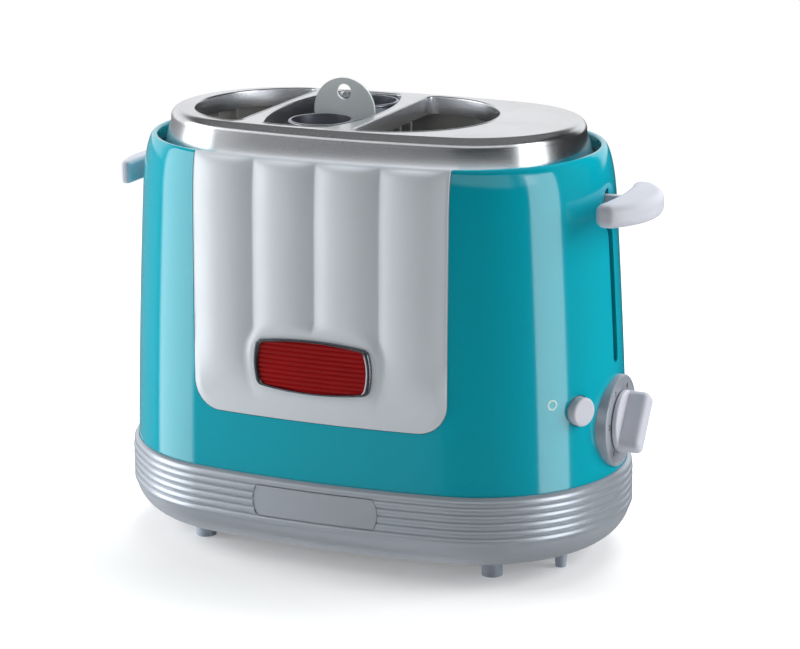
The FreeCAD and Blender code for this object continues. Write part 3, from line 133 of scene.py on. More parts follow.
def smooth_step(value: np.ndarray, low: float, high: float) -> np.ndarray:
    """3 t^2 - 2 t^3, where t runs from 0 at low to 1 at high."""
    part = np.clip((value - low) / (high - low), 0, 1)
    return part * part * (3 - 2 * part)


@dataclass(frozen=True)
class Outline:
    """A closed outline, counterclockwise, of sides that bow and corners rounded to touch them.

    Attributes:
        corners: The corner points.
        rises: How far the side after each corner bows outwards, or inwards where it is below 0.
        rounding: Radius of the corners.
        side_steps: Runs in a side.
        corner_steps: Runs in a corner.
    """

    corners: tuple[tuple[float, float], ...]
    rises: tuple[float, ...]
    rounding: float
    side_steps: int = 14
    corner_steps: int = 7

    def _side(self, number: int) -> tuple[np.ndarray, float]:
        """Centre and radius of the circle that a side lies on, the radius below 0 where it bows inwards."""
        first = np.array(self.corners[number])
        last = np.array(self.corners[(number + 1) % len(self.corners)])
        return circle(first, last, self.rises[number] or NEARLY_STRAIGHT)

    def _rounding_centre(self, number: int) -> np.ndarray:
        """Centre of the rounding at a corner: it lies its radius inside both sides."""
        (one, one_radius), (two, two_radius) = self._side(number - 1), self._side(number)
        one_radius, two_radius = abs(one_radius - self.rounding), abs(two_radius - self.rounding)
        apart = float(np.hypot(*(two - one)))
        along = (two - one) / apart
        reach = (one_radius ** 2 - two_radius ** 2 + apart ** 2) / (2 * apart)
        aside = math.sqrt(max(0.0, one_radius ** 2 - reach ** 2))
        across = np.array([-along[1], along[0]]) * aside
        choices = [one + along * reach + across, one + along * reach - across]
        corner = np.array(self.corners[number])
        return min(choices, key=lambda point: float(np.hypot(*(point - corner))))

    def points(self, grow: float = 0.0) -> np.ndarray:
        """The outline moved outwards by the same amount everywhere.

        Each point is its arc's centre + (radius + grow) (cos t, sin t), where t is the way the outline
        faces. It grows along a side that bows outwards and falls along one that bows inwards.

        Args:
            grow: How far out, in millimetres.

        Returns:
            Points, one a row.
        """
        count = len(self.corners)
        sides = [self._side(k) for k in range(count)]
        rounds = [self._rounding_centre(k) for k in range(count)]
        runs = []
        for k in range(count):
            centre, radius = sides[k]
            start, leave = self._facing(sides[k - 1], rounds[k]), self._facing(sides[k], rounds[k])
            arrive = self._facing(sides[k], rounds[(k + 1) % count])
            runs.append(self._arc(rounds[k], self.rounding + grow, start, leave, self.corner_steps))
            runs.append(self._arc(centre, radius + grow, leave, arrive, self.side_steps))
        return np.vstack(runs)

    def _facing(self, side: tuple[np.ndarray, float], rounding_centre: np.ndarray) -> float:
        """The way a side faces where a corner's rounding touches it."""
        centre, radius = side
        across, up = (rounding_centre - centre) / (radius - self.rounding)
        return math.atan2(up, across)

    @staticmethod
    def _arc(centre: np.ndarray, radius: float, start: float, end: float, steps: int) -> np.ndarray:
        """Points of an arc without its last one; its angle falls where the radius is below 0."""
        way = math.copysign(1.0, radius)
        turn = start + way * (way * (end - start) % (2 * math.pi)) * np.arange(steps)[:, None] / steps
        return centre + radius * np.hstack([np.cos(turn), np.sin(turn)])


def barrel(middle: tuple[float, float], half: tuple[float, float], rises: tuple[float, float],
           rounding: float, side_steps: int = 14) -> Outline:
    """A box outline whose ends and sides bow.

    Args:
        middle: Its middle.
        half: Half its length and half its width, at the corners.
        rises: How far the ends and the long sides bow.
        rounding: Radius of the corners.
        side_steps: Runs in a side.

    Returns:
        The outline.
    """
    corners = tuple((middle[0] + half[0] * x, middle[1] + half[1] * y) for x, y in BOX_CORNERS)
    return Outline(corners, (rises[1], rises[0], rises[1], rises[0]), rounding, side_steps)


# ---------------------------------------------------------------- ovals of the toaster

def stations(front: int = 44, end: int = 116) -> np.ndarray:
    """Places round an oval: the whole part names its arc (front, right, back, left), the rest the way on."""
    counts = (front, end, front, end)
    return np.concatenate([k + np.arange(count) / count for k, count in enumerate(counts)])


@dataclass(frozen=True)
class Oval:
    """Four arcs that touch: two wide ones, front and back, and two round ends."""

    half_length: np.ndarray | float
    half_depth: np.ndarray | float
    end_radius: np.ndarray | float

    def bend(self) -> tuple[np.ndarray, np.ndarray]:
        """Radius of the wide arcs, (b^2 + (a - r)^2 - r^2) / (2 (b - r)), and half the angle they turn."""
        a, b, r = self.half_length, self.half_depth, self.end_radius
        wide = (b * b + (a - r) ** 2 - r * r) / (2 * (b - r))
        return wide, np.arctan2(a - r, wide - b)

    def ring(self, share: np.ndarray, outward: np.ndarray | float = 0.0) -> tuple[np.ndarray, ...]:
        """Points and normals at places round the oval: centre + (radius + outward) (cos t, sin t).

        Args:
            share: Places, as stations gives them.
            outward: How far outside the oval.

        Returns:
            x, y and the two parts of the outward normal.
        """
        a, b, r = self.half_length, self.half_depth, self.end_radius
        wide, lean = self.bend()
        arc = np.floor(share).astype(int) % 4
        part = share - np.floor(share)
        right_angle = math.pi / 2
        is_wide = arc % 2 == 0
        span = np.where(is_wide, 2 * lean, math.pi - 2 * lean)
        begin = np.select(
            [arc == 0, arc == 1, arc == 2, arc == 3],
            [-right_angle - lean, lean - right_angle, right_angle - lean, right_angle + lean],
        )
        angle = begin + span * part
        nx, ny = np.cos(angle), np.sin(angle)
        radius = np.where(is_wide, wide, r) + outward
        centre_x = np.select([arc == 1, arc == 3], [a - r, r - a], 0.0)
        centre_y = np.select([arc == 0, arc == 2], [wide - b, b - wide], 0.0)
        return centre_x + radius * nx, centre_y + radius * ny, nx, ny

    def front(self, x: np.ndarray, outward: np.ndarray | float = 0.0) -> np.ndarray:
        """Where the front surface lies at x: on the wide arc, or on a round end beyond it."""
        a, b, r = self.half_length, self.half_depth, self.end_radius
        wide, lean = self.bend()
        on_wide = wide - b - np.sqrt(np.maximum((wide + outward) ** 2 - x ** 2, 0))
        on_end = -np.sqrt(np.maximum((r + outward) ** 2 - (np.abs(x) - a + r) ** 2, 0))
        return np.where(np.abs(x) <= wide * np.sin(lean), on_wide, on_end)


@dataclass(frozen=True)
class BodyForm:
    """The body's outline at each height: it draws in towards the rim and rounds over at the shoulder."""

    seam_height: float = 49.0
    rim_height: float = 212.3
    shoulder_height: float = 26.0
    seam_size: tuple[float, float] = (133.5, 79.7)
    drawn: tuple[float, float] = (9.0, 4.7)
    shoulder: tuple[float, float] = (4.7, 3.1)
    curve: float = 0.38
    flatness: tuple[float, float] = (3.8, 2.5)
    shoulder_share: float = 0.4
    lip: tuple[tuple[float, float], ...] = ((1.0, 212.3), (1.4, 212.2), (1.7, 211.9), (1.9, 211.4),
                                            (2.3, 205.4))

    @property
    def shoulder_start(self) -> float:
        """Height at which the shoulder begins."""
        return self.rim_height - self.shoulder_height

    def oval(self, z: np.ndarray | float) -> Oval:
        """The outline at a height: seam size - drawn (0.62 t + 0.38 t^2) - shoulder (1 - sqrt(1 - s^2)).

        t runs from 0 at the seam to 1 at the rim, and s from 0 where the shoulder begins to 1 at the rim.

        Args:
            z: Height or heights.

        Returns:
            The oval there.
        """
        rise = np.maximum(0, (z - self.seam_height) / (self.rim_height - self.seam_height))
        drawn_in = rise * (1 - self.curve + self.curve * rise)
        bend = np.clip((z - self.rim_height) / self.shoulder_height + 1, 0, 1)
        over = 1 - np.sqrt(1 - bend * bend)
        a = self.seam_size[0] - self.drawn[0] * drawn_in - self.shoulder[0] * over
        b = self.seam_size[1] - self.drawn[1] * drawn_in - self.shoulder[1] * over
        done = drawn_in + (over - drawn_in) * self.shoulder_share
        flat = self.flatness[0] + (self.flatness[1] - self.flatness[0]) * done
        return Oval(a, b, b - flat)

    def shoulder_levels(self, steps: int = 14) -> np.ndarray:
        """Heights over the shoulder, close together where it turns: top - h (1 - sin t)."""
        turn = np.linspace(0, math.pi / 2, steps + 1)
        return self.rim_height - self.shoulder_height * (1 - np.sin(turn))

    def right_end(self, y: float, z: float) -> np.ndarray:
        """The point of the body's right end at this depth and height."""
        oval = self.oval(z)
        x = oval.half_length - oval.end_radius + math.sqrt(oval.end_radius ** 2 - y * y)
        return np.array([x, y, z])


BODY_FORM = BodyForm()
BASE_OVAL = Oval(136.6, 82.8, 79.0)
PLATE_OVAL = Oval(107.2, 55.4, 51.6)


# ---------------------------------------------------------------- meshes

class Shape:
    """Grids and caps of points in the body's millimetres, gathered into one mesh."""

    def __init__(self) -> None:
        """Starts with nothing."""
        self.parts: list[np.ndarray] = []
        self.faces: list[list[int]] = []
        self.count = 0

    def add(self, points: np.ndarray) -> np.ndarray:
        """Takes points in and gives their numbers, laid out as the points are."""
        flat = points.reshape(-1, 3)
        numbers = np.arange(self.count, self.count + len(flat)).reshape(points.shape[:-1])
        self.parts.append(flat)
        self.count += len(flat)
        return numbers

    def grid(self, points: np.ndarray, round_rows: bool = False, round_columns: bool = True) -> np.ndarray:
        """Joins a grid of points into quads.

        Args:
            points: Rows, columns, 3.
            round_rows: The last row meets the first.
            round_columns: The last column meets the first.

        Returns:
            The points' numbers.
        """
        numbers = self.add(points)
        ring = np.vstack([numbers, numbers[:1]]) if round_rows else numbers
        ring = np.hstack([ring, ring[:, :1]]) if round_columns else ring
        quads = np.stack([ring[:-1, :-1], ring[:-1, 1:], ring[1:, 1:], ring[1:, :-1]], -1)
        self.faces += quads.reshape(-1, 4).tolist()
        return numbers

    def cap(self, numbers: np.ndarray) -> None:
        """Closes a loop with one flat face."""
        self.faces.append([int(number) for number in numbers])

    def closed_grid(self, points: np.ndarray) -> None:
        """Joins rows of loops into quads and closes the first and the last loop."""
        numbers = self.grid(points)
        self.cap(numbers[0])
        self.cap(numbers[-1])

    def prism(self, outline: Outline, span: tuple[float, float], axes: tuple[int, int, int],
              grow: float = 0.0) -> None:
        """Draws an outline out along an axis.

        Args:
            outline: The outline.
            span: Between which places along the axis.
            axes: ALONG_X or ALONG_Y.
            grow: How far the outline is grown.
        """
        self.closed_grid(raised(outline, [(grow, place) for place in span])[..., axes])

    def rod(self, origin: Sequence[float], axis: Sequence[float], radius: float,
            span: tuple[float, float]) -> None:
        """Turns a round rod about an axis.

        Args:
            origin: A point of the axis.
            axis: Its direction.
            radius: The rod's radius.
            span: Between which places along the axis.
        """
        start, end = span
        profile = np.array([(start, 0.0), (start, radius), (end, radius), (end, 0.0)])
        self.grid(turned(profile, origin, axis, count=48))

    def plate(self, loops: Sequence[np.ndarray]) -> None:
        """Fills a level outline with holes in it.

        Args:
            loops: Points of the outline, then of each hole.
        """
        numbers = np.concatenate([self.add(loop) for loop in loops])
        triangles = tessellate_polygon([[Vector(point) for point in loop] for loop in loops])
        self.faces += [[int(numbers[k]) for k in triangle] for triangle in triangles]

    def mesh(self, name: str, closed: bool = True) -> bpy.types.Mesh:
        """Makes the mesh in the frame's metres, doubles merged and faces outwards.

        Args:
            name: The mesh's name.
            closed: Its surface encloses a space, so its normals can be worked out.

        Returns:
            The mesh, shaded smooth with sharp edges kept.
        """
        points = (np.vstack(self.parts) + (MIDDLE_X, 0, 0)) * MM
        made = bpy.data.meshes.new(name)
        made.from_pydata(points.tolist(), [], self.faces)
        return welded(made, closed)


def welded(mesh: bpy.types.Mesh, recalculate: bool) -> bpy.types.Mesh:
    """Merges doubles, drops stray points and faces, and shades smooth up to the sharp angle."""
    work = bmesh.new()
    work.from_mesh(mesh)
    bmesh.ops.remove_doubles(work, verts=work.verts, dist=WELD)
    bmesh.ops.dissolve_degenerate(work, edges=work.edges, dist=WELD / 10)
    bmesh.ops.delete(work, geom=[v for v in work.verts if not v.link_faces], context="VERTS")
    if recalculate:
        bmesh.ops.recalc_face_normals(work, faces=work.faces)
    work.to_mesh(mesh)
    work.free()
    if "custom_normal" in mesh.attributes:
        mesh.attributes.remove(mesh.attributes["custom_normal"])
    mesh.shade_smooth()
    mesh.set_sharp_from_angle(angle=SHARP_ANGLE)
    return mesh


def carve(mesh: bpy.types.Mesh, cutter: bpy.types.Mesh) -> bpy.types.Mesh:
    """Cuts one closed mesh out of another.

    Args:
        mesh: What is cut.
        cutter: What is taken away.

    Returns:
        What is left.
    """
    pieces = [bpy.data.objects.new(each.name, each) for each in (mesh, cutter)]
    for piece in pieces:
        bpy.context.scene.collection.objects.link(piece)
    cut = pieces[0].modifiers.new("cut", "BOOLEAN")
    cut.operation, cut.solver, cut.object = "DIFFERENCE", "EXACT", pieces[1]
    graph = bpy.context.evaluated_depsgraph_get()
    left = bpy.data.meshes.new_from_object(pieces[0].evaluated_get(graph))
    for piece in pieces:
        bpy.data.objects.remove(piece)
    return welded(left, False)


def smooth_copy(node: str) -> bpy.types.Mesh:
    """A copy of a CAD node's mesh with its loose triangles merged and its rounds shaded smooth."""
    return welded(frame["nodes"][node].data.copy(), False)


def settle(name: str, mesh: bpy.types.Mesh, body: str, finish: str, *nodes: str, slot: str = "") -> None:
    """Puts a piece in the scene, dressed, riding on its body and standing for its nodes.

    Args:
        name: The piece's name.
        mesh: Its mesh, in place.
        body: The body it moves with.
        finish: Its finish's name.
        nodes: The CAD nodes that it replaces.
        slot: The record's material slot, where it isn't named like the finish; it is not used.
    """
    slot = slot or finish
    piece = bpy.data.objects.new(name, mesh)
    bpy.context.scene.collection.objects.link(piece)
    mesh.materials.clear()
    mesh.materials.append(MATERIALS[finish])
    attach(piece, body)
    if nodes:
        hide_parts(*nodes)
    log.info("%s: %d faces, rides on %s", name, len(mesh.polygons), body)


def sweep(oval: Oval, profile: np.ndarray, share: np.ndarray) -> np.ndarray:
    """A profile of (outward, height) carried round an oval.

    Args:
        oval: The path.
        profile: Rows of how far outside the oval, and how high.
        share: Places round the oval.

    Returns:
        A grid of points, a row for each row of the profile.
    """
    x, y, _, _ = oval.ring(share[None, :], profile[:, :1])
    return np.stack([x, y, np.broadcast_to(profile[:, 1:], x.shape)], -1)


def turned(profile: np.ndarray, origin: Sequence[float], axis: Sequence[float], count: int) -> np.ndarray:
    """A profile of (along, radius) turned about an axis: origin + along a + radius (cos t u + sin t v).

    Args:
        profile: Rows of how far along the axis, and how far from it.
        origin: A point of the axis.
        axis: Its direction.
        count: Columns round it.

    Returns:
        A grid of points.
    """
    along = Vector(axis).normalized()
    side = along.orthogonal().normalized()
    up = along.cross(side)
    turn = np.arange(count) / count * 2 * math.pi
    ray = np.cos(turn)[:, None] * np.array(side) + np.sin(turn)[:, None] * np.array(up)
    return np.array(origin) + profile[:, None, :1] * np.array(along) + profile[:, None, 1:] * ray


def raised(outline: Outline, rows: Sequence, spine: float | None = None, rings: int = 6) -> np.ndarray:
    """Rows up the side of a shape and, with a spine, on over its top until they meet along it.

    A point of a row is the outline grown by that row's grow. Over the top it is q + (1 - t) (p - q), where
    p is the last row's point, q the nearest point of the spine and t runs from 0 to 1.

    Args:
        outline: The shape's outline, about (0, 0) where it has a spine.
        rows: Rows of (grow, height).
        spine: Half the length of the level line on which its top closes.
        rings: Rows over the top.

    Returns:
        A grid of (across, up, height).
    """
    side = np.stack([lifted(outline.points(grow), height) for grow, height in rows])
    if spine is None:
        return side
    edge = side[-1]
    core = np.column_stack([np.clip(edge[:, 0], -spine, spine), np.zeros(len(edge)), edge[:, 2]])
    part = np.linspace(0, 1, rings + 1)[1:, None, None]
    return np.concatenate([side, core + (1 - part) * (edge - core)])


# ---------------------------------------------------------------- finishes

def linear(red: float, green: float, blue: float) -> tuple[float, float, float, float]:
    """A colour written in screen values of 0 to 255, as light: (v / 255) ^ 2.2."""
    return (*[(value / 255) ** 2.2 for value in (red, green, blue)], 1.0)


class Board:
    """A node tree with short ways to add and join nodes."""

    def __init__(self, tree: bpy.types.NodeTree) -> None:
        """Takes the tree."""
        self.tree = tree

    def add(self, kind: str, **settings: object) -> bpy.types.Node:
        """Adds a node of a kind and sets its options."""
        node = self.tree.nodes.new(kind)
        for key, value in settings.items():
            setattr(node, key, value)
        return node

    def put(self, target: Socket, value: object) -> None:
        """Sets an input: a socket is linked, and anything else is written on it."""
        if isinstance(value, Socket):
            self.tree.links.new(value, target)
        else:
            target.default_value = value

    def feed(self, node: bpy.types.Node, values: dict[str, object]) -> None:
        """Sets several of a node's inputs by name."""
        for name, value in values.items():
            self.put(node.inputs[name], value)

    def _joined(self, node: bpy.types.Node, inputs: dict[int, object], output: int = 0) -> Socket:
        """Sets a node's inputs by number and gives one of its outputs."""
        for number, value in inputs.items():
            self.put(node.inputs[number], value)
        return node.outputs[output]

    def maths(self, operation: str, one: object, two: object = 0.0) -> Socket:
        """A sum of two numbers or sockets."""
        return self._joined(self.add("ShaderNodeMath", operation=operation), {0: one, 1: two})

    def times(self, one: object, two: object) -> Socket:
        """The product of two numbers or sockets."""
        return self.maths("MULTIPLY", one, two)

    def spread(self, value: object, source: tuple[float, float], target: tuple[float, float],
               smooth: bool = False) -> Socket:
        """Maps a value from one range to another, kept inside it."""
        node = self.add("ShaderNodeMapRange", clamp=True)
        node.interpolation_type = "SMOOTHSTEP" if smooth else "LINEAR"
        names = ("From Min", "From Max", "To Min", "To Max")
        self.feed(node, {"Value": value, **dict(zip(names, (*source, *target)))})
        return node.outputs["Result"]

    def blend(self, mask: object, one: object, two: object) -> Socket:
        """Mixes two colours by a mask."""
        return self._joined(self.add("ShaderNodeMix", data_type="RGBA"), {0: mask, 6: one, 7: two}, 2)

    def mix(self, mask: Socket, one: Socket, two: Socket) -> Socket:
        """Mixes two shaders by a mask."""
        return self._joined(self.add("ShaderNodeMixShader"), {0: mask, 1: one, 2: two})

    def white(self, kind: str, strength: object = 1.0) -> Socket:
        """A white shader of a kind that gives off light, at a strength."""
        node = self.add(kind)
        self.feed(node, {"Color": (1, 1, 1, 1), "Strength": strength})
        return node.outputs[0]


class Effect(Enum):
    """The effects that several materials share, each a node group built once."""

    PATCHES = "tone patches"
    GRAIN = "fine grain"
    BRUSHING = "brush lines"
    DUST = "dust specks"


class EffectShelf:
    """Builds each effect's node group on first use and places it in materials."""

    def __init__(self) -> None:
        """Starts empty."""
        self.groups: dict[Effect, bpy.types.NodeTree] = {}

    def _start(self, effect: Effect, result: str) -> tuple[Board, dict[str, Socket], Socket]:
        """A new group with a Vector and a Scale going in and one value coming out."""
        tree = bpy.data.node_groups.new(effect.value, "ShaderNodeTree")
        sockets = (("Vector", "INPUT", "Vector"), ("Scale", "INPUT", "Float"), (result, "OUTPUT", "Float"))
        for name, way, kind in sockets:
            tree.interface.new_socket(name, in_out=way, socket_type=f"NodeSocket{kind}")
        board = Board(tree)
        source = board.add("NodeGroupInput")
        sink = board.add("NodeGroupOutput")
        self.groups[effect] = tree
        return board, {socket.name: socket for socket in source.outputs}, sink.inputs[result]

    def _noise(self, board: Board, vector: Socket, scale: Socket, detail: float) -> Socket:
        """Soft noise at a scale."""
        node = board.add("ShaderNodeTexNoise")
        board.feed(node, {"Vector": vector, "Scale": scale, "Detail": detail})
        return node.outputs[0]

    def _cells(self, board: Board, given: dict[str, Socket]) -> Socket:
        """How far a point is from the core of its cell."""
        node = board.add("ShaderNodeTexVoronoi")
        board.feed(node, {"Vector": given["Vector"], "Scale": given["Scale"]})
        return node.outputs["Distance"]

    def _patches(self) -> None:
        """Broad soft patches: 0.7 of coarse noise and 0.3 of a finer one, spread to full contrast."""
        board, given, result = self._start(Effect.PATCHES, "Mask")
        coarse = self._noise(board, given["Vector"], given["Scale"], 2.0)
        fine = self._noise(board, given["Vector"], board.times(given["Scale"], 6.0), 2.0)
        both = board.maths("ADD", board.times(coarse, 0.7), board.times(fine, 0.3))
        board.put(result, board.spread(both, (0.36, 0.64), (0.0, 1.0)))

    def _grain(self) -> None:
        """A fine even relief: noise with small cells under it."""
        board, given, result = self._start(Effect.GRAIN, "Height")
        noise = self._noise(board, given["Vector"], given["Scale"], 3.0)
        board.put(result, board.maths("ADD", noise, board.times(self._cells(board, given), 0.4)))

    def _brushing(self) -> None:
        """Long fine lines along X: noise on coordinates drawn out forty times across them."""
        board, given, result = self._start(Effect.BRUSHING, "Height")
        stretch = board.add("ShaderNodeVectorMath", operation="MULTIPLY")
        board.put(stretch.inputs[0], given["Vector"])
        board.put(stretch.inputs[1], (1.0, 40.0, 40.0))
        lines = self._noise(board, stretch.outputs[0], given["Scale"], 4.0)
        broad = self._noise(board, given["Vector"], given["Scale"], 1.0)
        board.put(result, board.maths("ADD", lines, board.times(broad, 0.3)))

    def _dust(self) -> None:
        """Scattered specks: the cores of small cells, kept where broad noise is high."""
        board, given, result = self._start(Effect.DUST, "Mask")
        cores = board.spread(self._cells(board, given), (0.05, 0.14), (1.0, 0.0))
        broad = self._noise(board, given["Vector"], board.times(given["Scale"], 0.05), 2.0)
        board.put(result, board.times(cores, board.spread(broad, (0.5, 0.7), (0.0, 1.0))))

    def place(self, board: Board, effect: Effect, vector: Socket, scale: float) -> Socket:
        """Places an effect in a material.

        Args:
            board: The material's board.
            effect: Which effect.
            vector: The coordinates it reads.
            scale: How fine it is, in cells to the metre.

        Returns:
            What it puts out.
        """
        if effect not in self.groups:
            makers = {Effect.PATCHES: self._patches, Effect.GRAIN: self._grain,
                      Effect.BRUSHING: self._brushing, Effect.DUST: self._dust}
            makers[effect]()
        node = board.add("ShaderNodeGroup")
        node.node_tree = self.groups[effect]
        board.feed(node, {"Vector": vector, "Scale": scale})
        return node.outputs[0]


SHELF = EffectShelf()
DUST_SCALE = 700.0          # cells to the metre
DUST_TONE = 205.0           # the specks' grey on the screen
DUST_ROUGHNESS = 0.3        # what a speck adds


@dataclass(frozen=True)
class Finish:
    """One surface: two close tones in broad patches, a range of roughness, fine relief and, on some, dust.

    Attributes:
        name: The material's name.
        tone: Its main colour.
        second: The colour that its patches drift to.
        roughness: Lowest and highest roughness over the patches.
        metallic: How metallic it is.
        coat: Weight of the clear coat.
        coat_roughness: Roughness of that coat.
        patch_scale: Patches to the metre.
        relief: The effect that raises its surface.
        relief_scale: How fine the relief is, in cells to the metre.
        relief_depth: How deep it is, in metres.
        dust: How strongly dust shows.
        ior: How strongly it mirrors face on.
    """

    name: str
    tone: tuple[float, float, float, float]
    second: tuple[float, float, float, float]
    roughness: tuple[float, float] = (0.3, 0.4)
    metallic: float = 0.0
    coat: float = 0.0
    coat_roughness: float = 0.05
    patch_scale: float = 14.0
    relief: Effect = Effect.GRAIN
    relief_scale: float = 900.0
    relief_depth: float = 2e-6
    dust: float = 0.0
    ior: float = 1.5

    def material(self) -> bpy.types.Material:
        """Builds the material's nodes on Object coordinates."""
        made = bpy.data.materials.new(self.name)
        made.use_nodes = True
        board = Board(made.node_tree)
        shader = made.node_tree.nodes["Principled BSDF"]
        place = board.add("ShaderNodeTexCoord").outputs["Object"]
        patches = SHELF.place(board, Effect.PATCHES, place, self.patch_scale)
        colour = board.blend(patches, self.tone, self.second)
        rough = board.spread(patches, (0.0, 1.0), self.roughness)
        if self.dust:
            specks = board.times(SHELF.place(board, Effect.DUST, place, DUST_SCALE), self.dust)
            colour = board.blend(specks, colour, linear(DUST_TONE, DUST_TONE, DUST_TONE))
            rough = board.maths("ADD", rough, board.times(specks, DUST_ROUGHNESS))
        relief = board.add("ShaderNodeBump")
        height = SHELF.place(board, self.relief, place, self.relief_scale)
        board.feed(relief, {"Strength": 1.0, "Distance": self.relief_depth, "Height": height})
        board.feed(shader, {
            "Base Color": colour, "Roughness": rough, "Normal": relief.outputs["Normal"],
            "Metallic": self.metallic, "Coat Weight": self.coat, "Coat Roughness": self.coat_roughness,
            "IOR": self.ior,
        })
        made.diffuse_color = self.tone
        return made


def close_tones(red: float, green: float, blue: float, share: float = 0.94) -> dict[str, tuple]:
    """A colour and the slightly darker one that its patches drift to."""
    return {"tone": linear(red, green, blue),
            "second": linear(red * share, green * share, blue * share)}


FINISHES = (
    Finish("body_turquoise", **close_tones(0, 157, 176, 0.985), roughness=(0.10, 0.13), coat=0.4,
           coat_roughness=0.04, relief_scale=350.0, relief_depth=6e-7, dust=0.10),
    Finish("panel_white", **close_tones(202, 209, 215, 0.985), roughness=(0.34, 0.40), relief_scale=700.0,
           relief_depth=1.5e-6, dust=0.08),
    Finish("base_silver", **close_tones(190, 198, 208, 0.97), metallic=0.62, roughness=(0.30, 0.36),
           relief_scale=1600.0, relief_depth=2.5e-6, dust=0.10),
    Finish("plate_grey", **close_tones(172, 179, 188, 0.97), metallic=0.35, roughness=(0.42, 0.5),
           relief_scale=1500.0, relief_depth=2e-6),
    Finish("badge_chrome", **close_tones(120, 122, 128, 0.94), metallic=1.0, roughness=(0.22, 0.27)),
    Finish("badge_red", **close_tones(146, 0, 12, 0.92), roughness=(0.34, 0.42), ior=1.33),
    Finish("top_steel", **close_tones(236, 238, 242, 0.98), metallic=1.0, roughness=(0.23, 0.27),
           relief_scale=400.0, relief_depth=5e-7),
    Finish("frame_dark", **close_tones(12, 40, 46), roughness=(0.5, 0.6)),
    Finish("oven_steel", **close_tones(196, 196, 196, 0.9), metallic=0.6, roughness=(0.44, 0.54),
           relief=Effect.BRUSHING, relief_scale=60.0, relief_depth=8e-6),
    Finish("cage_steel", **close_tones(186, 190, 200, 0.96), metallic=1.0, roughness=(0.28, 0.34),
           relief=Effect.BRUSHING, relief_scale=60.0, relief_depth=6e-6),
    Finish("tab_steel", **close_tones(226, 234, 236, 0.97), metallic=0.35, roughness=(0.34, 0.42),
           relief=Effect.BRUSHING, relief_scale=60.0, relief_depth=3e-6),
    Finish("dial_silver", **close_tones(176, 182, 192, 0.97), metallic=0.5, roughness=(0.36, 0.42),
           relief_scale=1600.0, relief_depth=2e-6),
    Finish("knob_white", **close_tones(192, 194, 204, 0.985), roughness=(0.3, 0.36), relief_scale=800.0,
           relief_depth=1.5e-6, dust=0.06),
    Finish("foot_rubber", **close_tones(178, 188, 202), roughness=(0.5, 0.6), relief_depth=8e-6),
    Finish("floor_black", **close_tones(30, 30, 32), roughness=(0.5, 0.62), relief_depth=1e-5),
    Finish("screw_steel", **close_tones(140, 140, 142), metallic=1.0, roughness=(0.3, 0.4)),
    Finish("frame_steel", **close_tones(150, 150, 152), metallic=1.0, roughness=(0.35, 0.45)),
    Finish("circuit_green", **close_tones(30, 92, 52), roughness=(0.35, 0.45)),
    Finish("switch_black", **close_tones(26, 26, 28), roughness=(0.4, 0.5)),
    Finish("core_iron", **close_tones(90, 88, 86), metallic=1.0, roughness=(0.45, 0.55)),
    Finish("coil_copper", **close_tones(184, 108, 62), metallic=1.0, roughness=(0.3, 0.4)),
    Finish("terminal_white", **close_tones(214, 212, 204), roughness=(0.45, 0.55)),
    Finish("mica", **close_tones(196, 184, 158, 0.88), roughness=(0.4, 0.55), relief_depth=2e-5),
    Finish("heater_ribbon", **close_tones(150, 132, 118), metallic=1.0, roughness=(0.4, 0.5)),
    Finish("bush_white", **close_tones(222, 220, 212), roughness=(0.45, 0.55)),
    Finish("spring_steel", **close_tones(170, 170, 172), metallic=1.0, roughness=(0.2, 0.27)),
    Finish("print_dark", **close_tones(52, 54, 58), roughness=(0.4, 0.5)),
    Finish("print_pale", **close_tones(206, 232, 226), roughness=(0.4, 0.5)),
)
MATERIALS = {finish.name: finish.material() for finish in FINISHES}


# ---------------------------------------------------------------- body, panel and badge

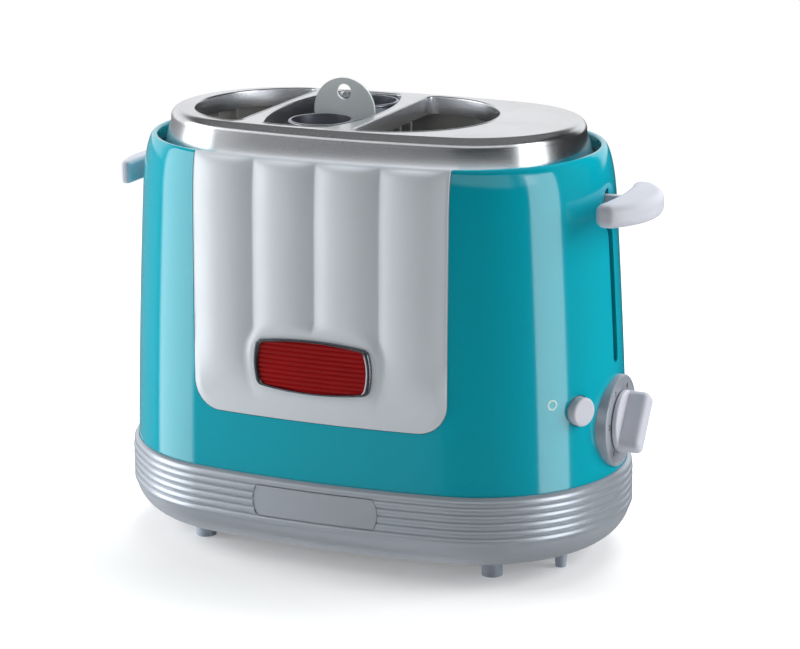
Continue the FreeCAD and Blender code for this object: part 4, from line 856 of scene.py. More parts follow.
@dataclass(frozen=True)
class BodyShell:
    """The glossy body: a drawn shell with a shoulder, lever slots in dimples, and holes for panel and timer.

    Each span says between which places along its axis a cutter runs.
    """

    frame_top: float = 205.2
    outer_rows: int = 58
    inner_rows: int = 12
    scoop_radius: float = 45.0
    scoop_centre: float = 169.74
    slot_half: float = 3.0
    slot_levels: tuple[float, float] = (105.5, 194.5)   # lower and upper end of the levers' slots
    slot_span: tuple[float, float] = (118.0, 140.0)
    window_gap: float = 0.2
    window_span: tuple[float, float] = (-90.0, -60.0)
    dial_span: tuple[float, float] = (120.0, 140.0)
    button_hole: float = 7.9
    button_span: tuple[float, float] = (-9.0, 9.0)

    def _rows(self) -> list[tuple[Oval, float, float]]:
        """The wall's section as (oval, outward, height), up the outside and down the inside."""
        form = BODY_FORM
        low = np.linspace(LEDGE, form.shoulder_start, self.outer_rows)[:-1]
        rows = [(form.oval(z), 0.0, z) for z in (*low, *form.shoulder_levels())]
        rows += [(form.oval(form.rim_height), -inset, z) for inset, z in form.lip]
        inner = np.linspace(self.frame_top, LEDGE, self.inner_rows)
        return rows + [(form.oval(z), -WALL, z) for z in inner]

    def _dimples(self, points: np.ndarray) -> np.ndarray:
        """Presses a ball into both ends: |x| <= c - sqrt(R^2 - y^2 - (z - h)^2) near its middle."""
        x, y, z = points[..., 0], points[..., 1], points[..., 2]
        square = self.scoop_radius ** 2 - y ** 2 - (z - LEVER_HEIGHT) ** 2
        limit = self.scoop_centre - np.sqrt(np.maximum(square, 0))
        pressed = np.where((square > 0) & (np.abs(x) > limit), np.sign(x) * limit, x)
        return np.stack([pressed, y, z], -1)

    def _cutter(self) -> bpy.types.Mesh:
        """The panel window, the two lever slots, the timer's hole and the button's hole in one."""
        shape, timer, button = Shape(), Timer(), StopButton()
        shape.prism(FrontPanel().outline(), self.window_span, ALONG_Y, self.window_gap)
        low, high = self.slot_levels
        near, far = self.slot_span
        half = (self.slot_half, (high - low) / 2)
        slot = barrel((0.0, (low + high) / 2), half, (0.0, 0.0), self.slot_half - HAIR, side_steps=4)
        for side in (-1, 1):
            shape.prism(slot, (near * side, far * side), ALONG_X)
        shape.rod((0, 0, timer.height), (1, 0, 0), timer.hole, self.dial_span)
        shape.rod(BODY_FORM.right_end(*button.place), button.axis, self.button_hole, self.button_span)
        return shape.mesh("body cutter")

    def build(self) -> None:
        """Sweeps the wall, presses the dimples, cuts the holes and dresses it."""
        share = stations()
        rows = []
        for oval, outward, z in self._rows():
            x, y, _, _ = oval.ring(share, outward)
            rows.append(lifted(np.stack([x, y], -1), z))
        shape = Shape()
        shape.grid(self._dimples(np.stack(rows)), round_rows=True)
        mesh = carve(shape.mesh("body shell"), self._cutter())
        settle("body_shell_glossy", mesh, "housing", "body_turquoise", "body_shell")


@dataclass(frozen=True)
class FrontPanel:
    """The pale panel: four upright pillows that soften towards a smooth foot, and a pad round the badge."""

    half_width: float = 69.5
    bottom: float = 80.5
    window_top: float = 245.0   # where its outline closes, clear over the rim
    corner: float = 15.0
    proud: float = 0.35
    edge: float = 0.7
    edge_fade: tuple[float, float] = (-1.0, 2.5)   # over which distance from the outline the pillows start
    side_fade: float = 5.0   # how far from the outline the foot's crest is full
    pitch: float = 34.2
    bulge: float = 3.8
    fullness: float = 2.3   # higher makes a pillow flatter with a sharper valley
    fold: float = 0.018   # rounding of a valley, as a share of half a pillow
    fade: tuple[float, float] = (82.0, 122.0)   # heights between which the valleys grow
    foot: tuple[float, float] = (81.0, 108.0)   # heights between which the crest grows
    top: float = 211.0
    top_length: float = 8.0   # how far under its end a pillow starts to round over
    top_fullness: float = 2.4
    pad_height: float = 2.8   # how far the flat pad round the badge stands out
    pad_margin: tuple[float, float] = (2.4, 8.0)   # where the pad ends and where the pillows are whole
    back_top: float = 205.0
    back_left_out: int = 3   # rows of the front, counted from the rim, with none behind them
    columns: int = 289
    rows: int = 46
    steepest: float = 20.0   # steepest tilt taken for the surface

    def outline(self) -> Outline:
        """The panel's outline seen from the front, open above the rim."""
        half, low, high = self.half_width, self.bottom, self.window_top
        corners = ((-half, low), (half, low), (half, high), (-half, high))
        return Outline(corners, (0.0,) * 4, self.corner, side_steps=8, corner_steps=10)

    def _half_at(self, z: np.ndarray) -> np.ndarray:
        """Half the width at a height: less by r - sqrt(r^2 - d^2) in the rounded lower corners."""
        into = np.clip(self.bottom + self.corner - z, 0, self.corner)
        return self.half_width - self.corner + np.sqrt(self.corner ** 2 - into ** 2)

    def _to_edge(self, x: np.ndarray, z: np.ndarray) -> np.ndarray:
        """How far inside the outline a point is."""
        over_x = np.abs(x) - self.half_width + self.corner
        over_z = self.bottom + self.corner - z
        in_corner = (over_x > 0) & (over_z > 0)
        plain = self.corner - np.maximum(over_x, over_z)
        return np.maximum(0, np.where(in_corner, self.corner - np.hypot(over_x, over_z), plain))

    def _relief(self, x: np.ndarray, z: np.ndarray) -> np.ndarray:
        """How far the panel stands out.

        Pillows are 1 - s^fullness across, fade at the foot and round over at the top.
        """
        place = (x / self.pitch) % 1.0
        to_valley = np.minimum(place, 1 - place) * 2
        soft = np.sqrt(to_valley ** 2 + self.fold ** 2) - self.fold
        pillow = 1 - (1 - np.minimum(soft, 1)) ** self.fullness
        depth = smooth_step(z, *self.fade)
        climb = np.clip((z - self.top) / self.top_length + 1, 0, 1)
        over = np.sqrt(np.maximum(0, 1 - climb ** self.top_fullness))
        level = self.bulge * over * smooth_step(z, *self.foot) * (1 - depth * (1 - pillow))
        inside = self._to_edge(x, z)
        side = smooth_step(inside, 0.0, self.side_fade)
        return self.proud + level * (1 - (1 - side) * (1 - depth)) * smooth_step(inside, *self.edge_fade)

    def _rounded_edge(self, x: np.ndarray, z: np.ndarray) -> np.ndarray:
        """How far the border drops: r - sqrt(r^2 - (r - d)^2) at a distance d from the outline."""
        into = np.clip(self.edge - self._to_edge(x, z), 0, self.edge)
        return self.edge - np.sqrt(self.edge ** 2 - into ** 2)

    def _to_badge(self, x: np.ndarray, z: np.ndarray) -> np.ndarray:
        """How far outside the badge's outline a point is, its bows counted as part of the box."""
        badge = Badge()
        half_x = badge.half_length + badge.end_bow * (1 - ((z - badge.height) / badge.half_height) ** 2)
        half_z = badge.half_height + badge.crown * (1 - (x / badge.half_length) ** 2)
        over_x = np.abs(x) - np.maximum(half_x, badge.half_length) + badge.corner
        over_z = np.abs(z - badge.height) - np.maximum(half_z, badge.half_height) + badge.corner
        outside = np.hypot(np.maximum(over_x, 0), np.maximum(over_z, 0))
        return outside + np.minimum(np.maximum(over_x, over_z), 0) - badge.corner

    def _front(self) -> tuple[np.ndarray, np.ndarray, np.ndarray]:
        """The front as rows up the body's form: the body's surface with the relief laid square on it.

        Returns:
            Its points, and where each stands across and up the body before the relief.
        """
        form = BODY_FORM
        low = self.bottom + self.corner * (1 - np.cos(np.linspace(0, math.pi / 2, 12)))
        plain = np.linspace(self.bottom + self.corner, form.shoulder_start, self.rows)[1:-1]
        levels = np.concatenate([low, plain, form.shoulder_levels()])[:, None]
        x = np.linspace(-1, 1, self.columns) * self._half_at(levels)
        z = np.broadcast_to(levels, x.shape)
        tilt = (form.oval(z + HAIR).front(x) - form.oval(z - HAIR).front(x)) / (2 * HAIR)
        tilt = np.minimum(np.nan_to_num(tilt, nan=self.steepest), self.steepest)
        size = np.sqrt(1 + tilt ** 2)
        relief = self._relief(x, z) - self._rounded_edge(x, z)
        y = form.oval(z).front(x) - relief / size
        near = 1 - smooth_step(self._to_badge(x, z), *self.pad_margin)
        pad = form.oval(Badge().height).front(x) - self.pad_height
        return np.stack([x, y + (pad - y) * near, z + relief * tilt / size], -1), x, z

    def build(self) -> None:
        """Builds the front, turns it in at the rim, gives it a wall and dresses it."""
        form = BODY_FORM
        outer, x, z = self._front()
        opening = form.oval(form.rim_height)
        rim = [lifted(np.stack([x[-1], opening.front(x[-1], -inset)], -1), height)
               for inset, height in form.lip]
        back = np.stack([x, form.oval(z).front(x, -WALL), np.minimum(z, self.back_top)], -1)[::-1]
        shape = Shape()
        section = np.concatenate([outer, np.stack(rim), back[self.back_left_out:]])
        numbers = shape.grid(section, round_rows=True, round_columns=False)
        shape.cap(numbers[:, 0])
        shape.cap(numbers[:, -1])
        settle("front_panel_pillows", shape.mesh("front panel"), "housing", "panel_white", "front_panel")


@dataclass(frozen=True)
class Badge:
    """The cushion-shaped badge: a dark bezel, wide at its ends, round a ribbed red insert left bare."""

    height: float = 110.0
    half_length: float = 30.4
    half_height: float = 11.6
    end_bow: float = 1.8
    crown: float = 2.4
    corner: float = 4.0
    inner_corner: float = 2.8
    inset: tuple[float, float] = (2.6, 1.1)   # width of the bezel at its ends and along its sides
    proud: float = 4.8
    section: tuple[tuple[float, float, float], ...] = (   # as (share of the way in, grow, drop)
        (0.0, 0.0, 1.0), (0.0, -0.12, 0.5), (0.0, -0.4, 0.12),
        (0.3, -0.4, 0.0), (0.75, -0.2, 0.1), (1.0, 0.0, 0.5),
    )
    insert_proud: float = 3.9   # how far the ribs stand out
    foot: float = 1.6   # how far out bezel and insert begin
    tuck: float = 0.5   # how far the insert reaches under the bezel
    ribs: int = 11
    rib_rows: int = 12
    rib_depth: float = 0.55
    columns: int = 73
    least_half: float = 0.02   # half the length of the first and last row

    def _bent(self, grid: np.ndarray) -> np.ndarray:
        """Lays (across, up, proud) on the body's front: y = front(x) at the badge's height - proud."""
        x, up, proud = grid[..., 0], grid[..., 1], grid[..., 2]
        y = BODY_FORM.oval(self.height).front(x) - proud
        return np.stack([x, y, up + self.height], -1)

    def build(self) -> None:
        """Builds and dresses the bezel and the insert."""
        bows = (self.end_bow, self.crown)
        outer = barrel((0, 0), (self.half_length, self.half_height), bows, self.corner)
        inner_half = (self.half_length - self.inset[0], self.half_height - self.inset[1])
        inner = barrel((0, 0), inner_half, bows, self.inner_corner)
        face = [(share, grow, self.proud - drop) for share, grow, drop in self.section]
        rows = [lifted(outer.points(grow) * (1 - share) + inner.points(0.0) * share, proud)
                for share, grow, proud in ((0.0, 0.0, self.foot), *face, (1.0, 0.0, self.foot))]
        shape = Shape()
        shape.grid(self._bent(np.stack(rows)), round_rows=True)
        settle("badge_bezel_dark", shape.mesh("badge bezel"), "housing", "badge_chrome", "badge_bezel")
        self._insert(inner.points(self.tuck))

    def _insert(self, border: np.ndarray) -> None:
        """Builds the insert row by row along its ribs: proud = height - depth (1 - |sin(pi up / pitch)|).

        Args:
            border: The insert's outline, counterclockwise.
        """
        right = border[border[:, 0] >= 0]
        right = right[np.argsort(right[:, 1])]
        up = np.linspace(right[0, 1], right[-1, 1], self.rib_rows * self.ribs + 1)
        half = np.maximum(np.interp(up, right[:, 1], right[:, 0]), self.least_half)
        x = half[:, None] * np.linspace(-1, 1, self.columns)
        up = np.broadcast_to(up[:, None], x.shape)
        pitch = 2 * right[-1, 1] / self.ribs
        face = self.insert_proud - self.rib_depth * (1 - np.abs(np.sin(math.pi * up / pitch)))
        front = self._bent(np.stack([x, up, face], -1))
        back = self._bent(np.stack([x, up, np.full_like(x, self.foot)], -1))
        shape = Shape()
        for sheet in (front, back):
            shape.grid(sheet, round_columns=False)
        for one, two in zip(self._borders(front), self._borders(back)):
            shape.grid(np.stack([one, two]), round_columns=False)
        settle("badge_insert_ribbed", shape.mesh("badge insert"), "housing", "badge_red", "badge_insert")

    @staticmethod
    def _borders(sheet: np.ndarray) -> tuple[np.ndarray, ...]:
        """The four edges of a grid of points."""
        return sheet[0], sheet[-1], sheet[:, 0], sheet[:, -1]


# ---------------------------------------------------------------- base

@dataclass(frozen=True)
class NamePlate:
    """The bare plate sunk in the base's front, as a box outline bent round it."""

    half: tuple[float, float] = (32.0, 8.0)
    end_bow: float = 2.4
    corner: float = 2.0
    middle: float = 37.0
    spine: float = 24.0   # half the line on which its face closes
    gap: float = 0.25
    pocket: tuple[float, float] = (2.0, -1.5)   # how far out its pocket opens and where it ends
    levels: tuple[float, float] = (-1.4, -0.2)   # how far out its back and its face lie
    edge: float = 0.25

    def _bent(self, grow: float, rows: Sequence[tuple[float, float]], rings: int = 6) -> np.ndarray:
        """The grown outline raised by rows and laid on the base's front: y = front(x, outward)."""
        half = (self.half[0] + grow, self.half[1] + grow)
        outline = barrel((0, 0), half, (self.end_bow, 0.0), self.corner + grow, side_steps=20)
        grid = raised(outline, np.array(rows), self.spine, rings)
        x, up, outward = grid[..., 0], grid[..., 1], grid[..., 2]
        return np.stack([x, BASE_OVAL.front(x, outward), up + self.middle], -1)

    def cut_pocket(self, shape: Shape) -> None:
        """Adds the pocket's cutter to a shape: its side with its floor, and its open face."""
        outside, inside = self.pocket
        shape.grid(self._bent(self.gap, [(0.0, outside), (0.0, inside)]))
        shape.grid(self._bent(self.gap, [(0.0, outside)]))

    def build(self) -> None:
        """Builds the plate with its rounded edge and dresses it."""
        back, face = self.levels
        rounded = [(-pulled, face - dropped) for pulled, dropped in quarter(self.edge, steps=3)[::-1]]
        plate = Shape()
        plate.grid(self._bent(0.0, [(0.0, back), *rounded], rings=8))
        mesh = plate.mesh("name plate", closed=False)
        settle("name_plate_bare", mesh, "housing", "plate_grey", "name_plate")


@dataclass(frozen=True)
class Base:
    """The silver base: a bowl, five ridges and a bead, with openings for tray, cord and name plate."""

    bottom: float = 9.5
    sheet: float = 2.2
    floor_inset: float = 35.5
    bowl_inset: float = 19.0
    bowl_bow: float = 4.2
    ridge_start: float = 25.0
    ridge_pitch: float = 4.0
    ridge_count: int = 5
    ridge_depth: float = 0.9
    bead_bow: float = 1.3
    lip: tuple[tuple[float, float], ...] = ((2.8, 0.0), (3.0, 0.1))
    lip_foot: float = 3.1
    lip_top: float = 49.6
    ledge_inset: float = 6.5
    tray: tuple[float, float, float, float] = (-76.6, 52.6, 13.5, 23.0)   # left, right, low and high
    tray_corner: float = 0.2
    tray_span: tuple[float, float] = (40.0, 95.0)   # depths between which it is cut
    gland: tuple[float, float, float] = (64.0, 33.0, 7.45)   # across, height and radius of its seat
    gland_seat: float = 77.9   # depth at which the seat ends
    gland_bore: float = 5.45   # radius of the bore behind it
    gland_span: tuple[float, float] = (60.0, 95.0)

    def _profile(self) -> np.ndarray:
        """The wall's section as (outward, height), up the outside over the ridges and down the inside."""
        groove, wall = self.ridge_depth, self.ridge_depth + WALL
        starts = self.ridge_start + self.ridge_pitch * np.arange(self.ridge_count + 1)
        ridges = [bow((-groove, low), (-groove, high), groove, steps=8)
                  for low, high in zip(starts, starts[1:])]
        (bead_inset, bead_drop), (edge_inset, edge_drop) = self.lip
        floor, under = self.bottom + self.sheet, LEDGE - WALL
        return trail(
            bow((-self.bowl_inset, self.bottom), (-groove, self.ridge_start), self.bowl_bow, steps=16),
            *ridges,
            bow((-groove, starts[-1]), (-bead_inset, self.lip_top - bead_drop), self.bead_bow, steps=10),
            (-edge_inset, self.lip_top - edge_drop), (-self.lip_foot, LEDGE),
            (-self.ledge_inset, LEDGE), (-self.ledge_inset, under), (-wall, under),
            bow((-wall, self.ridge_start), (-self.bowl_inset, floor), -self.bowl_bow, steps=8),
            (-self.floor_inset, floor), (-self.floor_inset, self.bottom),
        )

    def _cutter(self) -> bpy.types.Mesh:
        """The name plate's pocket, the crumb tray's opening and the cord outlet's seat in one."""
        shape = Shape()
        NamePlate().cut_pocket(shape)
        left, right, low, high = self.tray
        middle, half = ((left + right) / 2, (low + high) / 2), ((right - left) / 2, (high - low) / 2)
        shape.prism(barrel(middle, half, (0, 0), self.tray_corner), self.tray_span, ALONG_Y)
        x, z, radius = self.gland
        start, end = self.gland_span
        profile = np.array([(start, 0), (start, self.gland_bore), (self.gland_seat, self.gland_bore),
                            (self.gland_seat, radius), (end, radius), (end, 0)])
        shape.grid(turned(profile, (x, 0, z), (0, 1, 0), count=48))
        return shape.mesh("base cutter")

    def build(self) -> None:
        """Sweeps the shell, cuts it and dresses it, and adds the name plate."""
        shape = Shape()
        shape.grid(sweep(BASE_OVAL, self._profile(), stations()), round_rows=True)
        mesh = carve(shape.mesh("base shell"), self._cutter())
        settle("base_shell_ridged", mesh, "housing", "base_silver", "base_shell")
        NamePlate().build()


# ---------------------------------------------------------------- top plate

@dataclass(frozen=True)
class TopPlate:
    """The polished top: a flat with three openings in rolled lips, and a collar that flares to the rim."""

    height: float = 225.0
    sheet: float = 1.2
    flat_inset: float = 2.4
    easing: tuple[tuple[float, float], ...] = ((-0.7, 0.01), (-0.1, 0.06))   # as (outward, drop)
    shoulder: tuple[float, float] = (3.9, 219.0)   # where the shoulder ends, as (outward, height)
    shoulder_bow: float = -1.5
    skirt: tuple[float, float] = (8.0, 205.2)   # where the collar ends, as (outward, height)
    lip_width: float = 1.6
    lip_proud: float = 0.3
    lip_drop: float = 9.0
    rounding: float = 5.0
    bun_half: float = 49.5
    bun_sides: tuple[float, float] = (-55.0, 9.5)   # where the straight sides of the two slots lie
    bun_bows: tuple[float, float] = (43.0, 55.0)   # how far their round sides bow
    cage_middle: float = -23.5
    cage_half: tuple[float, float] = (16.5, 48.5)
    cage_bows: tuple[float, float] = (10.5, 1.0)   # how far its ends and its sides bow

    def openings(self) -> list[Outline]:
        """The left bun slot, the cage's opening and the right bun slot."""
        half, (left_x, right_x), (left_bow, right_bow) = self.bun_half, self.bun_sides, self.bun_bows
        steps = {"side_steps": 60, "corner_steps": 8}
        left = Outline(((left_x, -half), (left_x, half)), (0.0, left_bow), self.rounding, **steps)
        centre = barrel((self.cage_middle, 0.0), self.cage_half, self.cage_bows, self.rounding, side_steps=40)
        right = Outline(((right_x, half), (right_x, -half)), (0.0, right_bow), self.rounding, **steps)
        return [left, centre, right]

    def _plate(self) -> None:
        """The flat with its holes, and the collar with its shoulder, as one sheet."""
        share = stations(front=60, end=130)
        top, under = self.height, self.height - self.sheet
        (ease_out, ease_drop), (turn_out, turn_drop) = self.easing
        outside = trail((-self.flat_inset, top), (ease_out, top - ease_drop),
                        bow((turn_out, top - turn_drop), self.shoulder, self.shoulder_bow, steps=12),
                        self.skirt)
        inside = trail((self.skirt[0] - self.sheet, self.skirt[1]),
                       (self.shoulder[0] - self.sheet, self.shoulder[1]), (-self.flat_inset, under))
        shape = Shape()
        shape.grid(sweep(PLATE_OVAL, trail(outside, inside), share))
        holes = [outline.points(self.lip_width / 2) for outline in self.openings()]
        x, y, _, _ = PLATE_OVAL.ring(share, -self.flat_inset)
        for z in (top, under):
            shape.plate([lifted(loop, z) for loop in (np.stack([x, y], -1), *holes)])
        for loop in holes:
            shape.grid(np.stack([lifted(loop, z) for z in (top, under)]))
        settle("top_plate_polished", shape.mesh("top plate"), "housing", "top_steel", "top_plate")

    def _lips(self) -> None:
        """A lip round each opening: a wall with half a round bead on it."""
        half, low = self.lip_width / 2, self.height - self.lip_drop
        middle = self.height + self.lip_proud - half
        turn = np.linspace(0, math.pi, 11)
        bead = np.stack([half - half * np.cos(turn), middle + half * np.sin(turn)], -1)
        rows = trail((0.0, low), bead, (self.lip_width, low))
        lips = Shape()
        for outline in self.openings():
            lips.grid(raised(outline, rows), round_rows=True)
        settle("top_plate_lips", lips.mesh("top plate lips"), "housing", "top_steel")

    def build(self) -> None:
        """Builds and dresses the plate and its lips."""
        self._plate()
        self._lips()


# ---------------------------------------------------------------- levers, dial, knob and button

@dataclass(frozen=True)
class Lever:
    """A curved grip at one end, with its neck through the slot."""

    name: str
    side: int   # 1 at the right end, -1 at the left
    root: float   # where the middle of the grip's inner side lies
    tip: float   # where the ends of its inner side lie
    corner_x: float   # where the ends of its outer side lie
    end: float   # half its length
    reach: float   # where the middle of its outer side lies
    edge: float
    rounding: float
    half_thickness: float = 6.0
    neck_half: tuple[float, float] = (2.2, 4.5)
    neck_corner: float = 0.8
    neck_start: float = 114.0   # where the neck begins, inside the body
    neck_overlap: float = 5.0   # how far it reaches into the grip

    def outline(self) -> Outline:
        """The grip seen from above: an arc outside and an arc that follows the body inside."""
        corners = ((self.tip, -self.end), (self.corner_x, -self.end),
                   (self.corner_x, self.end), (self.tip, self.end))
        rises = (0.0, self.reach - self.corner_x, 0.0, self.tip - self.root)
        return Outline(corners, rises, self.rounding, side_steps=24, corner_steps=8)

    def build(self) -> None:
        """Builds the grip with rounded edges and its neck, and dresses it."""
        edge = quarter(self.edge, steps=8)
        upper = np.stack([-edge[:, 0], self.half_thickness - edge[:, 1]], -1)
        rows = trail((upper * (1, -1))[::-1], upper)
        shape = Shape()
        shape.closed_grid(raised(self.outline(), rows) * (self.side, 1, 1) + (0, 0, LEVER_HEIGHT))
        neck = barrel((0.0, LEVER_HEIGHT), self.neck_half, (0.0, 0.0), self.neck_corner, side_steps=3)
        span = (self.neck_start * self.side, (self.root + self.neck_overlap) * self.side)
        shape.prism(neck, span, ALONG_X)
        settle(f"lever_{self.name}_grip", shape.mesh(f"lever {self.name}"), "carriage", "knob_white",
               f"lever_{self.name}")


@dataclass(frozen=True)
class Timer:
    """The timer's ring with its printed numbers, and the knob with a tilted grip."""

    height: float = 75.0
    hole: float = 4.5
    radius: float = 23.6
    back: float = 124.0   # where the ring begins along its axis
    face: float = 134.6   # where its rim ends along its axis
    bevel: float = 0.9
    bevel_bow: float = -0.25
    rim: float = 0.5
    sunk: float = 0.35   # how far its face lies behind the rim
    number_count: int = 6
    numbers_radius: float = 18.2
    number_size: float = 4.2
    number_depth: float = 0.08
    number_sunk: float = 0.3
    first: float = 216.0   # angle of the 1, in degrees clockwise from the top
    turn: float = 57.6   # degrees from one number to the next
    knob_low: float = 134.9   # where the knob begins along the axis
    knob_radius: float = 15.8
    knob_edge: float = 1.1
    flange: float = 2.4
    face_inset: float = 1.8
    length: float = 13.0
    grip_half: float = 5.5
    grip_corner: float = 3.4
    grip_edge: float = 3.2
    grip_root: float = 0.5
    tilt: float = 36.0   # how far the grip is turned, in degrees

    def _ring(self) -> None:
        """The ring, turned: a drum, a bevel, a fine raised rim and a flat face sunk behind it."""
        edge, low, shoulder = self.radius - self.bevel, self.face - self.sunk, self.face - self.bevel
        profile = trail(
            (self.back, self.hole), (self.back, self.radius), (shoulder, self.radius),
            bow((shoulder, self.radius), (self.face, edge), self.bevel_bow, steps=5),
            (self.face, edge - self.rim), (low, edge - self.rim - self.sunk), (low, self.hole),
        )
        shape = Shape()
        shape.grid(turned(profile, (0, 0, self.height), (1, 0, 0), count=120), round_rows=True)
        settle("dial_ring_turned", shape.mesh("dial ring"), "housing", "dial_silver", "dial_ring")

    def _text(self, text: str) -> bpy.types.Mesh:
        """A centred text as a mesh, lying flat at the origin, in millimetres."""
        curve = bpy.data.curves.new(f"number {text}", "FONT")
        curve.body, curve.size, curve.extrude = text, self.number_size, self.number_depth
        curve.align_x, curve.align_y = "CENTER", "CENTER"
        holder = bpy.data.objects.new("number", curve)
        bpy.context.scene.collection.objects.link(holder)
        graph = bpy.context.evaluated_depsgraph_get()
        mesh = bpy.data.meshes.new_from_object(holder.evaluated_get(graph))
        bpy.data.objects.remove(holder)
        return mesh

    def _numbers(self) -> None:
        """The numbers from 1 up, raised a hair on the ring's face, upright."""
        upright = Matrix(((0, 0, 1), (1, 0, 0), (0, 1, 0))).to_4x4()
        for k in range(self.number_count):
            angle = math.radians(self.first + self.turn * k)
            middle = Vector((self.face - self.number_sunk + MIDDLE_X, self.numbers_radius * math.sin(angle),
                             self.height + self.numbers_radius * math.cos(angle)))
            mesh = self._text(str(k + 1))
            mesh.transform(Matrix.Scale(MM, 4) @ Matrix.Translation(middle) @ upright)
            settle(f"dial_number_{k + 1}", welded(mesh, False), "housing", "print_dark", slot="dial_silver")

    def _disc(self) -> np.ndarray:
        """The section of the knob's disc with its rounded edge, as (along, radius)."""
        low, radius, top = self.knob_low, self.knob_radius, self.knob_low + self.flange
        edge = quarter(self.knob_edge, steps=5)
        return trail((low, 0.0), (low, radius), np.stack([top - edge[:, 1], radius - edge[:, 0]], -1),
                     (top, radius - self.face_inset), (top, 0.0))

    def _knob(self) -> None:
        """The knob: a rounded disc and a grip across it with a well rounded front."""
        shape = Shape()
        shape.grid(turned(self._disc(), (0, 0, self.height), (1, 0, 0), count=96))
        reach = math.sqrt(self.knob_radius ** 2 - self.grip_half ** 2)
        bows = (self.knob_radius - reach, 0.0)
        grip = barrel((0, 0), (reach, self.grip_half), bows, self.grip_corner, side_steps=12)
        edge = quarter(self.grip_edge, steps=8)
        front = np.stack([-edge[:, 0], self.knob_low + self.length - edge[:, 1]], -1)
        rows = trail((0.0, self.knob_low + self.grip_root), front)
        grid = raised(grip, rows, spine=reach - self.grip_half, rings=5)
        angle = math.radians(self.tilt)
        across = np.array([0, math.sin(angle), math.cos(angle)])
        up = np.array([0, math.cos(angle), -math.sin(angle)])
        points = grid[..., :1] * across + grid[..., 1:2] * up + grid[..., 2:] * np.array([1, 0, 0])
        shape.cap(shape.grid(points + (0, 0, self.height))[0])
        settle("timer_knob_grip", shape.mesh("timer knob"), "knob", "knob_white", "timer_knob")

    def build(self) -> None:
        """Builds ring, numbers and knob."""
        self._ring()
        self._numbers()
        self._knob()


@dataclass(frozen=True)
class StopButton:
    """The round stop button and the plain ring mark beside it."""

    place: tuple[float, float] = (-34.0, 88.4)   # depth and height of its middle
    axis: tuple[float, float, float] = (0.8988, -0.4384, 0.0)
    radius: float = 7.4
    edge: float = 1.3
    proud: float = 4.0
    rim: float = 0.5
    dish: tuple[tuple[float, float], ...] = ((3.0, 0.15), (0.0, 0.2))   # as (radius, drop)
    flange: float = 9.4
    flange_span: tuple[float, float] = (-5.0, -3.2)
    stem: tuple[float, float] = (1.6, -9.0)   # its radius, and how far back it ends
    mark_place: tuple[float, float] = (-47.6, 94.1)   # depth and height of the mark
    mark_radius: float = 2.3
    mark_stroke: float = 0.42
    mark_span: tuple[float, float] = (-0.3, 0.1)

    def _cap(self) -> None:
        """Turns the cap with its flange and stem, and dresses it."""
        edge = quarter(self.edge, steps=6)
        (stem_radius, stem_end), (back, front) = self.stem, self.flange_span
        profile = trail(
            (stem_end, 0.0), (stem_end, stem_radius), (back, stem_radius), (back, self.flange),
            (front, self.flange), (front, self.radius),
            np.stack([self.proud - edge[:, 1], self.radius - edge[:, 0]], -1),
            (self.proud, self.radius - self.edge - self.rim),
            *((self.proud - drop, radius) for radius, drop in self.dish),
        )
        shape = Shape()
        shape.grid(turned(profile, BODY_FORM.right_end(*self.place), self.axis, count=72))
        settle("stop_button_cap", shape.mesh("stop button"), "cancel", "knob_white", "cancel_button")

    def _mark(self) -> None:
        """Turns the ring mark, square to the body's surface, and dresses it."""
        centre = BODY_FORM.right_end(*self.mark_place)
        oval = BODY_FORM.oval(self.mark_place[1])
        out = Vector((centre[0] - (oval.half_length - oval.end_radius), centre[1], 0.0)).normalized()
        inner, outer = self.mark_radius - self.mark_stroke, self.mark_radius + self.mark_stroke
        back, front = self.mark_span
        ring = np.array([(back, inner), (back, outer), (front, outer), (front, inner)])
        mark = Shape()
        mark.grid(turned(ring, centre, out, count=48), round_rows=True)
        settle("stop_mark_ring", mark.mesh("stop mark"), "housing", "print_pale", slot="body_turquoise")

    def build(self) -> None:
        """Builds the button and its mark."""
        self._cap()
        self._mark()


# ---------------------------------------------------------------- parts kept from the frame

@dataclass(frozen=True)
class KeptParts:
    """The nodes whose shape is right: some are shown as smoothed copies, the rest get their finish."""

    smoothed: tuple[tuple[str, str, str, str], ...] = (   # as (node, body, slot, finish)
        ("cage_well_front", "cage", "cage_steel", "cage_steel"),
        ("cage_well_back", "cage", "cage_steel", "cage_steel"),
        ("cage_handle", "cage", "cage_steel", "tab_steel"),
        ("rubber_feet", "housing", "foot_rubber", "foot_rubber"),
        ("end_feet", "housing", "foot_rubber", "foot_rubber"),
        ("crumb_tray", "tray", "base_silver", "base_silver"),
        ("cord_gland", "housing", "switch_black", "switch_black"),
        ("oven_wall", "housing", "oven_steel", "oven_steel"),
        ("carriage_ring", "carriage", "oven_steel", "oven_steel"),
    )

    def build(self) -> None:
        """Dresses every node by the record's slot, and shows the smoothed ones as new pieces."""
        for row in frame["record"]["subparts"]:
            self._dress(row["node"], row["material_slot"])
        for node, body, slot, finish in self.smoothed:
            settle(f"{node}_smooth", smooth_copy(node), body, finish, node, slot=slot)

    def _dress(self, node: str, slot: str) -> None:
        """Gives a CAD node its finish through its object's material slots."""
        piece = frame["nodes"][node]
        for each in piece.material_slots:
            each.link = "OBJECT"
            each.material = MATERIALS[slot]


# ---------------------------------------------------------------- floor, light and camera

@dataclass(frozen=True)
class Softbox:
    """A patch of the room as polished surfaces mirror it.

    Attributes:
        azimuths: Where it starts and ends round the object, in degrees from the front towards the right.
        rises: Its lower and upper edge, in degrees over the horizon.
        soft: Width of its soft side edges, in degrees.
        strength: How bright it is.
    """

    azimuths: tuple[float, float]
    rises: tuple[float, float]
    soft: float
    strength: float

    @property
    def crosses_back(self) -> bool:
        """It runs on past the back at 180 degrees, without going all the way round."""
        return self.azimuths[0] > 0 and self.azimuths[1] > 180


